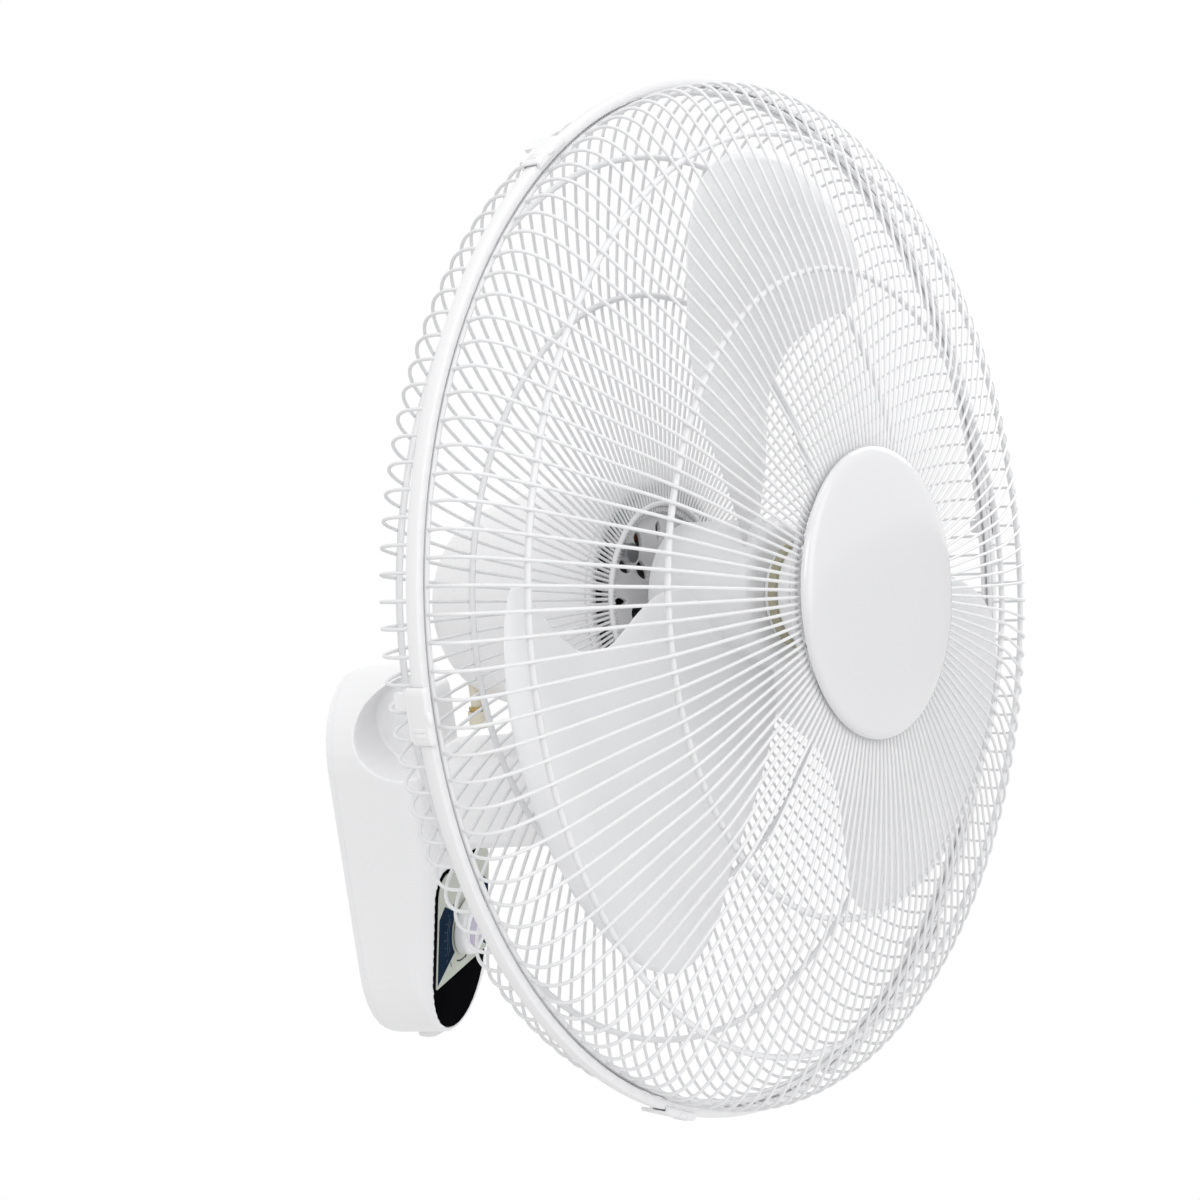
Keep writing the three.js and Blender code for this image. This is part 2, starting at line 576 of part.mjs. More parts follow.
function motorCover() {
  const R = MOTOR_RADIUS;
  const front = -MOTOR_FRONT + 3 + GAP;
  const dome = (inset) => [[R - 2 - inset, MOTOR_REAR - 42], [R - 7 - inset, MOTOR_REAR - 20],
    [R - 17 - inset, MOTOR_REAR - 6.5], [R - 30 - inset, MOTOR_REAR - 1], [0, MOTOR_REAR - inset]];
  const space = turned([[0, front - 5], [R - MOTOR_WALL, front - 5], ...dome(MOTOR_WALL)]);
  const foot = neckTop + RUN - AXIS_HEIGHT;
  return cut(
    join(turned([[0, front], [R, front], ...dome(0)]), cylZ(SKIRT_RADIUS, foot, 12 - R, 0, 0, 32)),
    space,
    cylZ(SKIRT_RADIUS - SKIRT_WALL, foot - 5, 14 - R, 0, 0, 28),
    cylZ(PULL_STEM_RADIUS + 0.4, -45, -20, ...PULL_KNOB, 14),
  );
}

// plastic front of the motor: bearing boss, vents, slots round its edge, legs to the stator
function motorFrontPlate() {
  const y0 = -MOTOR_FRONT;
  const vents = [[24, 20, 5.4], [28, 65, 4.4], [22, 110, 5.6], [29, 155, 4.2], [23, 200, 5.4], [28, 245, 4.6],
    [23, 290, 5.6], [28, 332, 4.2]];
  const legs = [];
  const holes = vents.map(([r, a, size]) => around(cylY(size, y0 - 1, y0 + 4, 0, r, 8), a));
  for (let i = 0; i < 4; i += 1) {
    const leg = box(-4.5, 4.5, y0 + 2.9, STATOR_FRONT - GAP, STATOR_RADIUS - 4, MOTOR_RADIUS - MOTOR_WALL - 2);
    legs.push(around(leg, 45 + 90 * i));
    holes.push(around(cylY(1.6, y0 + 1.7, 0, 0, BOLT_CIRCLE, 8), 45 + 90 * i));
    holes.push(around(cylY(1.5, y0 - 1, y0 + 9, 0, SCREW_CIRCLE, 8), 45 + 90 * i));
  }
  const slots = 16;
  const slot = box(-1.8, 1.8, y0 - 1, y0 + 4, REAR_CENTRE_RADIUS - 1, MOTOR_RADIUS - 4);
  for (let i = 0; i < slots; i += 1) holes.push(around(slot, ((i + 0.5) * 360) / slots));
  return cut(join(ring(7.5, MOTOR_RADIUS, y0, y0 + 3, 32), ring(7.5, 13, y0 + 2, y0 + 8.5, 20), ...legs), ...holes);
}

// screw whose head laps the rear guard's centre ring
function guardScrew() {
  const face = -MOTOR_FRONT - GAP - WIRE - GAP;
  return join(
    cylY(4.4, face - 2, face, 0, SCREW_CIRCLE, 12),
    cylY(1.4, face - 1, -MOTOR_FRONT + 7, 0, SCREW_CIRCLE, 8),
  );
}

// cast rear frame: spider with the rear bearing's boss, four feet to the stator, the swivel post's boss
function motorRearFrame() {
  const spider = FRAME_REAR - 4;
  const feet = [];
  const holes = [];
  for (let i = 0; i < 4; i += 1) {
    feet.push(around(box(-5, 5, STATOR_REAR + GAP, FRAME_REAR, STATOR_RADIUS - 4, STATOR_RADIUS + FOOT_REACH),
      45 + 90 * i));
    holes.push(around(cylY(1.7, -20, 20, 0, BOLT_CIRCLE, 8), 45 + 90 * i));
  }
  return cut(
    join(ring(SHAFT_RADIUS + 3.5, STATOR_RADIUS, spider, FRAME_REAR),
      ring(SHAFT_RADIUS + 3.5, SHAFT_RADIUS + 9, spider, FRAME_REAR + BEARING_BOSS, 20),
      cylZ(POST_RADIUS + 4, BOSS_FOOT, BOSS_TOP, 0, 0, 20), ...feet),
    box(-POST_RADIUS - 5, POST_RADIUS + 5, -2 * POST_RADIUS, 2 * POST_RADIUS, BOSS_TOP, BOSS_TOP + 14),
    cylZ(POST_RADIUS - 1.9, BOSS_FOOT - 5, BOSS_TOP + 5, 0, 0, 16),
    ...holes,
  );
}

function motor(group) {
  piece(group, "motor_cover", motorCover(), "white");
  piece(group, "motor_front_plate", motorFrontPlate(), "white");
  piece(group, "stator_core", ring(STATOR_BORE, STATOR_RADIUS, STATOR_FRONT, STATOR_REAR), "alloy");
  const winding = (y0, y1) => ring(STATOR_BORE + 3, STATOR_RADIUS - 6, y0, y1, 20);
  piece(group, "stator_winding_front", winding(STATOR_FRONT - 5, STATOR_FRONT - GAP), "copper");
  piece(group, "stator_winding_rear", winding(STATOR_REAR + GAP, STATOR_REAR + 5), "copper");
  piece(group, "motor_rear_frame", motorRearFrame(), "alloy");
  for (let i = 0; i < 4; i += 1) {
    const bolt = join(
      cylY(1.5, -MOTOR_FRONT + 2, FRAME_REAR + 1, 0, BOLT_CIRCLE, 8),
      cylY(2.5, FRAME_REAR + GAP, FRAME_REAR + 2.6, 0, BOLT_CIRCLE, 8),
    );
    piece(group, `motor_bolt_${i + 1}`, around(bolt, 45 + 90 * i), "steel");
  }
  const bearing = (y0, y1) => ring(SHAFT_RADIUS + 0.1, SHAFT_RADIUS + 3.4, y0, y1, 16);
  piece(group, "front_bearing", bearing(-MOTOR_FRONT + 3.3, -MOTOR_FRONT + 8.3), "brass");
  piece(group, "rear_bearing", bearing(FRAME_REAR - 3, FRAME_REAR + 4.5), "brass");

  const post = join(
    cylZ(POST_RADIUS, postFoot - AXIS_HEIGHT, BOSS_FOOT - GAP, 0, 0, 20),
    cylZ(POST_RADIUS - 2, BOSS_FOOT - 1, BOSS_TOP + 5, 0, 0, 16),
  );
  piece(group, "swivel_post", post, "steel");
  const nut = cut(
    cylZ(7, BOSS_TOP + GAP, BOSS_TOP + 4.3, 0, 0, 6),
    cylZ(POST_RADIUS - 1.9, BOSS_FOOT, BOSS_TOP + 9, 0, 0, 16),
  );
  piece(group, "swivel_nut", nut, "steel");
}

// ---------------------------------------------------------------- what spins with the shaft
// stations along a blade: distance out, its clockwise and counter-clockwise edge in degrees, how fast it rises
// towards the front along the arc, and how far its middle stands in front of the guards' middle plane
const bladeStations = [
  [HUB_RADIUS - 1.2, 44, -45, 0.46, -3], [50, 38.5, -41.5, 0.42, -2], [65, 32.7, -38, 0.36, -1],
  [90, 25, -34.5, 0.28, 0], [115, 26.5, -30, 0.21, 2], [140, 34, -26.7, 0.165, 6], [160, 38.5, -23.2, 0.13, 10],
  [168, 37, -21, 0.12, 11.8], [176, 31, -17.5, 0.11, 13.3], [182, 22, -11.5, 0.105, 14.4],
  [185, 13, -5, 0.1, 15], [186.2, 7, 1, 0.1, 15.2],
];

function blade() {
  const across = 8;
  const columns = across + 1;
  const rows = bladeStations.length;
  const positions = [];
  for (const side of [-1, 1]) {
    for (const [r, cw, ccw, rise, forward] of bladeStations) {
      const half = rad(cw - ccw) / 2;
      for (let c = 0; c < columns; c += 1) {
        const u = -Math.cos((Math.PI * c) / across);
        const camber = BLADE_CAMBER * (1 - u * u) * ((half * r) / 72);
        const skin = (BLADE_THICK / 2) * (c === 0 || c === across ? 0.35 : 1);
        const a = rad(cw + ccw) / 2 - u * half;
        const y = at(forward + rise * u * half * r + camber) + side * skin;
        positions.push(r * Math.sin(a), y, r * Math.cos(a));
      }
    }
  }
  const id = (side, k, c) => (side * rows + k) * columns + c;
  const index = [];
  const quad = (a, b, c, d) => index.push(a, b, c, a, c, d);
  for (let k = 0; k < rows - 1; k += 1) {
    for (let c = 0; c < across; c += 1) {
      quad(id(0, k, c), id(0, k, c + 1), id(0, k + 1, c + 1), id(0, k + 1, c));
      quad(id(1, k, c), id(1, k + 1, c), id(1, k + 1, c + 1), id(1, k, c + 1));
    }
    quad(id(0, k, 0), id(0, k + 1, 0), id(1, k + 1, 0), id(1, k, 0));
    quad(id(0, k, across), id(1, k, across), id(1, k + 1, across), id(0, k + 1, across));
  }
  for (let c = 0; c < across; c += 1) {
    quad(id(0, 0, c), id(1, 0, c), id(1, 0, c + 1), id(0, 0, c + 1));
    quad(id(0, rows - 1, c), id(0, rows - 1, c + 1), id(1, rows - 1, c + 1), id(1, rows - 1, c));
  }
  const g = new THREE.BufferGeometry();
  g.setAttribute("position", new THREE.BufferAttribute(new Float32Array(positions), 3));
  g.setIndex(index);
  return welded(g);
}

function propeller() {
  const R = HUB_RADIUS;
  const inner = [R - 5 - HUB_WALL, HUB_FRONT - HUB_WALL];
  const hub = turned([[0, at(HUB_FRONT)], [R - 5, at(HUB_FRONT)], [R - 1, at(HUB_FRONT - 4)],
    [R, at(HUB_FRONT - 10)], [R, at(HUB_BACK)], [0, at(HUB_BACK)]], 28);
  const hollow = turned([[10, at(inner[1])], [inner[0], at(inner[1])], [R - HUB_WALL, at(HUB_FRONT - 10)],
    [R - HUB_WALL, at(HUB_BACK - 5)], [10, at(HUB_BACK - 5)], [10, at(inner[1])]], 24);
  const blades = [];
  for (let i = 0; i < BLADE_COUNT; i += 1) blades.push(around(blade(), BLADE_START + (360 / BLADE_COUNT) * i));
  return cut(
    join(hub, ...blades),
    hollow,
    cylY(SHAFT_RADIUS + 0.1, at(HUB_FRONT + 5), at(HUB_BACK - 5), 0, 0, 16),
    box(-8, 8, at(HUB_BACK + 5), at(HUB_BACK - 1), -1.6, 1.6),
  );
}

function spinning(group) {
  piece(group, "propeller", propeller(), "blade");
  const back = HUB_FRONT + GAP;
  const bore = SHAFT_RADIUS + 0.1;
  const nut = turned([[bore, at(back)], [NUT_RADIUS, at(back)], [NUT_RADIUS, at(back + 7)],
    [NUT_RADIUS - 3, at(back + NUT_LENGTH)], [0, at(back + NUT_LENGTH)], [0, at(back + 8)], [bore, at(back + 8)],
    [bore, at(back)]], 24);
  piece(group, "blade_nut", nut, "olive");
  const pin = at(HUB_BACK + 2);
  const shaft = cut(
    join(
      cylY(SHAFT_RADIUS, at(back + 8 - GAP), CRANK_OUT - 9, 0, 0, 16),
      cylY(SHAFT_RADIUS - 0.8, CRANK_OUT - 10, CRANK_OUT + 9, 0, 0, 12),
    ),
    cylX(1.4, -9, 9, pin, 0, 8),
  );
  piece(group, "motor_shaft", shaft, "steel");
  piece(group, "drive_pin", cylX(1.3, -7, 7, pin, 0, 8), "steel");
  piece(group, "rotor", ring(bore, STATOR_BORE - RUN, STATOR_FRONT + 0.5, STATOR_REAR - 0.5, 24), "alloy");
}

// ---------------------------------------------------------------- oscillation drive
function drive(group) {
  const front = FRAME_REAR + BEARING_BOSS + GAP;
  const w = CASE_WALL;
  const outer = box(-CASE_SIDE, CRANK_SIDE + CASE_FAR_SIDE, front, CRANK_OUT + CASE_REAR, -CASE_BELOW, CASE_ABOVE);
  const space = box(w - CASE_SIDE, CRANK_SIDE + CASE_FAR_SIDE - w, front + w, CRANK_OUT + CASE_REAR - w,
    w - CASE_BELOW, CASE_ABOVE + w);
  const [px, py] = PULL_KNOB;
  const shelf = box(px - PULL_SHELF_HALF, 1 - CASE_SIDE, py - PULL_SHELF_HALF, py + PULL_SHELF_HALF - 2,
    -CASE_BELOW, 3 - CASE_BELOW);
  const gearCase = cut(
    join(cut(outer, space), shelf),
    cylZ(PULL_STEM_RADIUS + 0.1, -CASE_BELOW - 9, 0, px, py, 14),
    cylY(SHAFT_RADIUS + 1, front - 1, front + w + 1, 0, 0, 16),
    cylZ(CRANK_SHAFT_RADIUS + 0.6, -CASE_BELOW - 3, w - CASE_BELOW + 1, CRANK_SIDE, CRANK_OUT, 14),
  );
  piece(group, "gear_case", gearCase, "alloy");

  const wheel = cut(
    cylZ(CRANK_SIDE - SHAFT_RADIUS + 0.3, -3, 3, CRANK_SIDE, CRANK_OUT, 28),
    cylZ(CRANK_SHAFT_RADIUS + 0.1, -10, 10, CRANK_SIDE, CRANK_OUT, 12),
  );
  piece(group, "worm_wheel", wheel, "ivory");
  const disc = -CRANK_DROP;
  const pin = [CRANK_SIDE + CRANK_THROW, CRANK_OUT];
  const crank = join(
    cylZ(CRANK_SHAFT_RADIUS, disc - 1, 5, CRANK_SIDE, CRANK_OUT, 12),
    cylZ(CRANK_RADIUS, disc - 3, disc, CRANK_SIDE, CRANK_OUT, 24),
    cylZ(2, disc - LINK_THICK - 4.5, disc - 2, ...pin, 12),
  );
  piece(group, "crank", crank, "steel");

  // flat link from the crank's pin to just above the neck's stud
  const low = linkTop - LINK_THICK;
  const length = Math.hypot(pin[0], pin[1] - STUD_OUT);
  const bar = box(0, length, -3.5, 3.5, low, linkTop)
    .rotateZ(Math.atan2(pin[1] - STUD_OUT, pin[0])).translate(0, STUD_OUT, 0);
  const link = cut(
    join(bar, cylZ(5, low, linkTop, ...pin, 16), cylZ(5, low, linkTop, 0, STUD_OUT, 16)),
    cylZ(2.08, low - 5, linkTop + 5, ...pin, 12),
    cylZ(2.7, low - 5, linkTop + 5, 0, STUD_OUT, 12),
  );
  piece(group, "crank_link", link, "ivory");

  // push-pull knob under the rear of the motor that lets the head swing
  const knob = join(cylZ(PULL_STEM_RADIUS, -47, -5, ...PULL_KNOB, 14), cylZ(5, -54, -46, ...PULL_KNOB, 18));
  piece(group, "oscillation_knob", knob, "ivory");
  const collar = cut(cylZ(PULL_STEM_RADIUS + 1.2, -45.7, -43.9, ...PULL_KNOB, 16),
    cylZ(PULL_STEM_RADIUS + 0.1, -60, -20, ...PULL_KNOB, 14));
  piece(group, "knob_collar", collar, "brass");
}

// ---------------------------------------------------------------- assembly
const fan = new THREE.Group();
base(fan);
speedKnob(fan);
tiltBolt(fan);
neck(fan);

const head = new THREE.Group();
head.position.set(0, -REACH, AXIS_HEIGHT);
head.rotation.z = rad(REST_PAN);
fan.add(head);
motor(head);
spinning(head);
drive(head);
piece(head, "rear_guard", rearGuard(), "wire");
piece(head, "front_guard", frontGuard(), "wire");
for (let i = 0; i < 4; i += 1) piece(head, `guard_screw_${i + 1}`, around(guardScrew(), 45 + 90 * i), "steel");
piece(head, "guard_band", ring(BAND_INNER, BAND_INNER + BAND_THICK, at(BAND_HALF), at(-BAND_HALF), 72), "white");
piece(head, "guard_cap", guardCap(), "white");
for (let i = 0; i < CLIP_COUNT; i += 1) {
  piece(head, `band_clip_${i + 1}`, around(bandClip(), CLIP_FIRST + (360 / CLIP_COUNT) * i), "white");
}

export default fan;
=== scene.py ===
"""Wall mounted fan: the visual model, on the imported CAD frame.

The scene is in metres, the helpers take millimetres.
"""
import json
import math

import bmesh
import bpy
import numpy as np
from mathutils import Matrix, Vector


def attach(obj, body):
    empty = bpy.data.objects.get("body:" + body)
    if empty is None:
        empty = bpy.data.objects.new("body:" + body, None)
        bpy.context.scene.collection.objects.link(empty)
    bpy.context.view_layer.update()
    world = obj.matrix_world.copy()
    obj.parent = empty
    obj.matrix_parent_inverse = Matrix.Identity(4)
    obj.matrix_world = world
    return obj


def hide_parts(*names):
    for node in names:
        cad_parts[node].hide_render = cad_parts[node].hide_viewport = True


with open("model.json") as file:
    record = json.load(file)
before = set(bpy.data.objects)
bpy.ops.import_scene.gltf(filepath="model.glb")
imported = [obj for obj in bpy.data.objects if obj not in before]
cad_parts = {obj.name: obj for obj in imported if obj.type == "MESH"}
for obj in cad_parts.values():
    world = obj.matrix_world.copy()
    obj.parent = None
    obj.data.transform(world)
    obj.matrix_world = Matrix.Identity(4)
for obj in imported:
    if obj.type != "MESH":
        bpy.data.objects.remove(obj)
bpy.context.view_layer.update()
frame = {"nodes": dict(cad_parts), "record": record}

MM = 0.001
TAU = math.pi * 2
NODES = frame["nodes"]
scene = bpy.context.scene

# ---------------------------------------------------------------- camera and light
camera_data = bpy.data.cameras.new("camera")
camera_data.sensor_width = 36
camera_data.lens = 58.23
camera_data.clip_start = 0.02
camera_data.clip_end = 60
camera = bpy.data.objects.new("camera", camera_data)
scene.collection.objects.link(camera)
camera.location = (-0.82489, -0.43624, 0.23631)
camera.rotation_euler = [math.radians(a) for a in (81.987, 7.657, -70.886)]
scene.camera = camera
scene.view_settings.view_transform = "Standard"

LIT_POINT = Vector((-0.03, -0.19, 0.11))


def lamp(name, place, size, power):
    """A soft rectangular lamp, turned to the middle of the fan."""
    data = bpy.data.lights.new(name, "AREA")
    data.shape = "RECTANGLE"
    data.size, data.size_y = size
    data.energy = power
    o = bpy.data.objects.new(name, data)
    scene.collection.objects.link(o)
    o.location = place
    o.rotation_euler = (LIT_POINT - Vector(place)).to_track_quat("-Z", "Y").to_euler()


lamp("key_light", (-2.2, -0.9, 1.6), (1.5, 1.2), 18)
lamp("front_light", (-0.2, -2.4, 0.7), (1.4, 1.6), 8)
lamp("side_light", (1.9, -0.9, 1.1), (1.2, 1.6), 12)
lamp("top_light", (-0.2, -0.4, 2.5), (1.8, 1.8), 12)


# ---------------------------------------------------------------- materials
COAT_ROUGHNESS = 0.12
SCATTER_RADIUS = (0.004, 0.004, 0.004)
GRAIN_DEPTH = 0.0004


def node(nt, kind, **values):
    n = nt.nodes.new(kind)
    for k, v in values.items():
        setattr(n, k, v)
    return n


def finish_of(name, colour, rough, *, tint, grain, bump, patch, metal=0.0, rough_spread=0.08, coat=0.0,
              specular=0.5, transmission=0.0, subsurface=0.0, stretch=(1, 1, 1)):
    """A procedural finish: a broad drift of the colour and the gloss, and a fine grain in the bump."""
    m = bpy.data.materials.new(name)
    m.use_nodes = True
    nt = m.node_tree
    nt.nodes.clear()
    link = nt.links.new
    out = node(nt, "ShaderNodeOutputMaterial")
    bsdf = node(nt, "ShaderNodeBsdfPrincipled")
    link(bsdf.outputs[0], out.inputs[0])
    bsdf.inputs["Metallic"].default_value = metal
    bsdf.inputs["Coat Weight"].default_value = coat
    bsdf.inputs["Coat Roughness"].default_value = COAT_ROUGHNESS
    bsdf.inputs["Specular IOR Level"].default_value = specular
    bsdf.inputs["Transmission Weight"].default_value = transmission
    bsdf.inputs["Subsurface Weight"].default_value = subsurface
    bsdf.inputs["Subsurface Radius"].default_value = SCATTER_RADIUS

    place = node(nt, "ShaderNodeTexCoord")
    scale = node(nt, "ShaderNodeMapping")
    scale.inputs["Scale"].default_value = stretch
    link(place.outputs["Object"], scale.inputs[0])
    drift = node(nt, "ShaderNodeTexNoise")
    drift.inputs["Scale"].default_value = patch
    drift.inputs["Detail"].default_value = 3
    link(scale.outputs[0], drift.inputs["Vector"])

    ramp = node(nt, "ShaderNodeValToRGB")
    low, high = ramp.color_ramp.elements
    low.position, high.position = 0.3, 0.7
    low.color = (*[max(0, c * (1 - tint)) for c in colour], 1)
    high.color = (*[min(1, c * (1 + tint * 0.6)) for c in colour], 1)
    link(drift.outputs["Fac"], ramp.inputs[0])
    link(ramp.outputs[0], bsdf.inputs["Base Color"])

    gloss = node(nt, "ShaderNodeMapRange")
    gloss.inputs[3].default_value = max(0.02, rough - rough_spread)
    gloss.inputs[4].default_value = min(1, rough + rough_spread)
    link(drift.outputs["Fac"], gloss.inputs[0])
    link(gloss.outputs[0], bsdf.inputs["Roughness"])

    fine = node(nt, "ShaderNodeTexNoise")
    fine.inputs["Scale"].default_value = grain
    fine.inputs["Detail"].default_value = 2
    link(scale.outputs[0], fine.inputs["Vector"])
    relief = node(nt, "ShaderNodeBump")
    relief.inputs["Strength"].default_value = bump
    relief.inputs["Distance"].default_value = GRAIN_DEPTH
    link(fine.outputs["Fac"], relief.inputs["Height"])
    link(relief.outputs[0], bsdf.inputs["Normal"])
    return m


WHITE = finish_of("white_plastic", (0.865, 0.865, 0.875), 0.3, tint=0.012, grain=700, bump=0.05, patch=9,
                  coat=0.15)
GLOSS = finish_of("cap_plastic", (0.755, 0.755, 0.77), 0.13, tint=0.008, grain=60, bump=0.02, patch=6,
                  rough_spread=0.03, coat=0.5)
WIRE = finish_of("wire_coat", (0.82, 0.823, 0.832), 0.34, tint=0.03, grain=400, bump=0.12, patch=30)
BLADE = finish_of("blade_plastic", (0.90, 0.905, 0.915), 0.36, tint=0.02, grain=500, bump=0.05, patch=7,
                  transmission=0.12, subsurface=0.15)
BLACK = finish_of("black_plastic", (0.0045, 0.0045, 0.0055), 0.42, tint=0.3, grain=1500, bump=0.12, patch=40,
                  specular=0.0)
LABEL = finish_of("label_face", (0.50, 0.53, 0.47), 0.5, tint=0.06, grain=1200, bump=0.05, patch=60)
NAVY = finish_of("dial_ink", (0.014, 0.028, 0.052), 0.45, tint=0.2, grain=1200, bump=0.03, patch=90,
                 specular=0.0)
INK = finish_of("mark_ink", (0.015, 0.015, 0.018), 0.5, tint=0.2, grain=1200, bump=0.03, patch=90, specular=0.3)
FAINT = finish_of("scale_ink", (0.10, 0.13, 0.17), 0.5, tint=0.2, grain=1200, bump=0.03, patch=90, specular=0.1)
LILAC = finish_of("lilac_plastic", (0.50, 0.46, 0.58), 0.42, tint=0.05, grain=900, bump=0.06, patch=40)
OLIVE = finish_of("olive_plastic", (0.38, 0.36, 0.25), 0.5, tint=0.06, grain=800, bump=0.08, patch=30)
IVORY = finish_of("ivory_plastic", (0.75, 0.71, 0.58), 0.42, tint=0.04, grain=700, bump=0.06, patch=30)
DARK = finish_of("dark_plastic", (0.025, 0.026, 0.03), 0.5, tint=0.25, grain=1100, bump=0.12, patch=40)
STEEL = finish_of("steel", (0.56, 0.57, 0.58), 0.3, metal=1, tint=0.08, grain=500, bump=0.06, patch=50,
                  stretch=(1, 1, 6))
CORE = finish_of("core_steel", (0.30, 0.30, 0.31), 0.5, metal=1, tint=0.2, grain=300, bump=0.2, patch=60)
ALLOY = finish_of("alloy", (0.48, 0.48, 0.49), 0.5, metal=1, tint=0.12, grain=900, bump=0.25, patch=40)
COPPER = finish_of("copper", (0.30, 0.15, 0.09), 0.42, metal=1, tint=0.15, grain=1500, bump=0.3, patch=80)
BRASS = finish_of("brass", (0.56, 0.42, 0.17), 0.3, metal=1, tint=0.1, grain=500, bump=0.08, patch=60)

BY_SLOT = {"white_plastic": WHITE, "wire_coat": WIRE, "blade_plastic": BLADE, "black_plastic": BLACK,
           "label_face": LABEL, "lilac_plastic": LILAC, "olive_plastic": OLIVE, "ivory_plastic": IVORY,
           "dark_plastic": DARK, "steel": STEEL, "core_steel": CORE, "alloy": ALLOY, "copper": COPPER,
           "brass": BRASS}
SLOT_OF = {s["node"]: s["material_slot"] for s in frame["record"]["subparts"]}
for name, o in NODES.items():
    o.data.materials.clear()
    o.data.materials.append(BY_SLOT[SLOT_OF[name]])


# ---------------------------------------------------------------- frames of the head, the panel and the base
# the head's origin is where the fan axis crosses the swing axis; the fan looks along its -y
HEAD = Matrix.Translation((0, -0.118, 0.1145)) @ Matrix.Rotation(math.radians(-18), 4, "Z")
# the panel's origin is the knob's centre on the panel's face, which leans back by 17 in 90.5
PANEL = Matrix.Translation((0, -0.039674, -0.039)) @ Matrix.Rotation(math.atan2(17, 90.5), 4, "X")
BASE = Matrix()
OUT = 105.0  # from the swing axis to the guards' middle plane
SIDES, FEWER_SIDES = 128, 96  # of turned pieces


def ahead(profile):
    """Turns [radius, place in front of the guards' middle plane] into [radius, y] in the head's frame."""
    return [(r, -OUT - y) for r, y in profile]


# ---------------------------------------------------------------- helpers
class Build:
    """Collects vertices in millimetres and faces, and makes one mesh of them."""

    def __init__(self):
        self.v, self.f, self.m, self.n = [], [], [], 0

    def add(self, verts, faces, mat=0):
        verts = np.asarray(verts, float).reshape(-1, 3)
        self.v.append(verts)
        self.f.extend([tuple(i + self.n for i in f) for f in faces])
        self.m.extend([mat] * len(faces))
        self.n += len(verts)

    def make(self, name, body, mats, matrix, replaces=(), angle=None, smooth=True):
        me = bpy.data.meshes.new(name)
        me.from_pydata((np.concatenate(self.v) * MM).tolist(), [], self.f)
        me.polygons.foreach_set("material_index", self.m)
        me.transform(matrix)
        me.update()
        piece(name, me, body, mats, replaces, angle, smooth)


def piece(name, me, body, mats, replaces, angle, smooth=True):
    """A visible piece of a mesh: edges sharper than the angle stay sharp; it replaces the named CAD nodes."""
    bm = bmesh.new()
    bm.from_mesh(me)
    bmesh.ops.recalc_face_normals(bm, faces=bm.faces)
    bm.to_mesh(me)
    bm.free()
    for m in mats:
        me.materials.append(m)
    for p in me.polygons:
        p.use_smooth = smooth
    if angle:
        me.set_sharp_from_angle(angle=math.radians(angle))
    o = bpy.data.objects.new(name, me)
    scene.collection.objects.link(o)
    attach(o, body)
    if replaces:
        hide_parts(*replaces)


def skin(rows, n):
    """The faces between rows of n points each, and those over the first and the last row."""
    faces = [(s * n + k, s * n + (k + 1) % n, (s + 1) * n + (k + 1) % n, (s + 1) * n + k)
             for s in range(rows - 1) for k in range(n)]
    return faces + [tuple(range(n)), tuple((rows - 1) * n + k for k in range(n))[::-1]]


def smooth_line(points, per):
    """A Catmull-Rom line through the points, with so many steps from one to the next."""
    p = [np.asarray(q, float) for q in points]
    p = [2 * p[0] - p[1]] + p + [2 * p[-1] - p[-2]]
    line = []
    for i in range(1, len(p) - 2):
        a, b, c, d = p[i - 1:i + 3]
        for k in range(per):
            t = k / per
            line.append(0.5 * ((2 * b) + (c - a) * t + (2 * a - 5 * b + 4 * c - d) * t * t
                               + (3 * b - a - 3 * c + d) * t ** 3))
    line.append(p[-2])
    return np.array(line)


def turn_y(v, degrees):
    """Turns points about the fan axis: 0 is up, positive is towards +x."""
    a = math.radians(degrees)
    v = np.asarray(v, float)
    x, z = v[..., 0].copy(), v[..., 2].copy()
    turned = v.copy()
    turned[..., 0] = x * math.cos(a) + z * math.sin(a)
    turned[..., 2] = -x * math.sin(a) + z * math.cos(a)
    return turned


def tube(line, radius, sides, closed=False):
    """A round tube along a line of 3D points, with one radius or one for each point: vertices and faces."""
    line = np.asarray(line, float)
    n = len(line)
    radii = np.broadcast_to(radius, n)
    way = np.roll(line, -1, 0) - np.roll(line, 1, 0) if closed else np.gradient(line, axis=0)
    way /= np.linalg.norm(way, axis=1)[:, None]
    up = np.array([0.0, 0.0, 1.0]) if abs(way[0][2]) < 0.9 else np.array([1.0, 0, 0])
    u = np.cross(way[0], up)
    u /= np.linalg.norm(u)
    a = np.arange(sides) * TAU / sides
    rings = []
    for point, d, r in zip(line, way, radii):
        u = u - d * np.dot(u, d)
        u /= np.linalg.norm(u)
        w = np.cross(d, u)
        rings.append(point + r * (np.cos(a)[:, None] * u + np.sin(a)[:, None] * w))
    faces = []
    for i in range(n if closed else n - 1):
        j = (i + 1) % n
        for k in range(sides):
            after = (k + 1) % sides
            faces.append((i * sides + k, i * sides + after, j * sides + after, j * sides + k))
    if not closed:
        faces.append(tuple(range(sides))[::-1])
        faces.append(tuple((n - 1) * sides + k for k in range(sides)))
    return np.concatenate(rings), faces


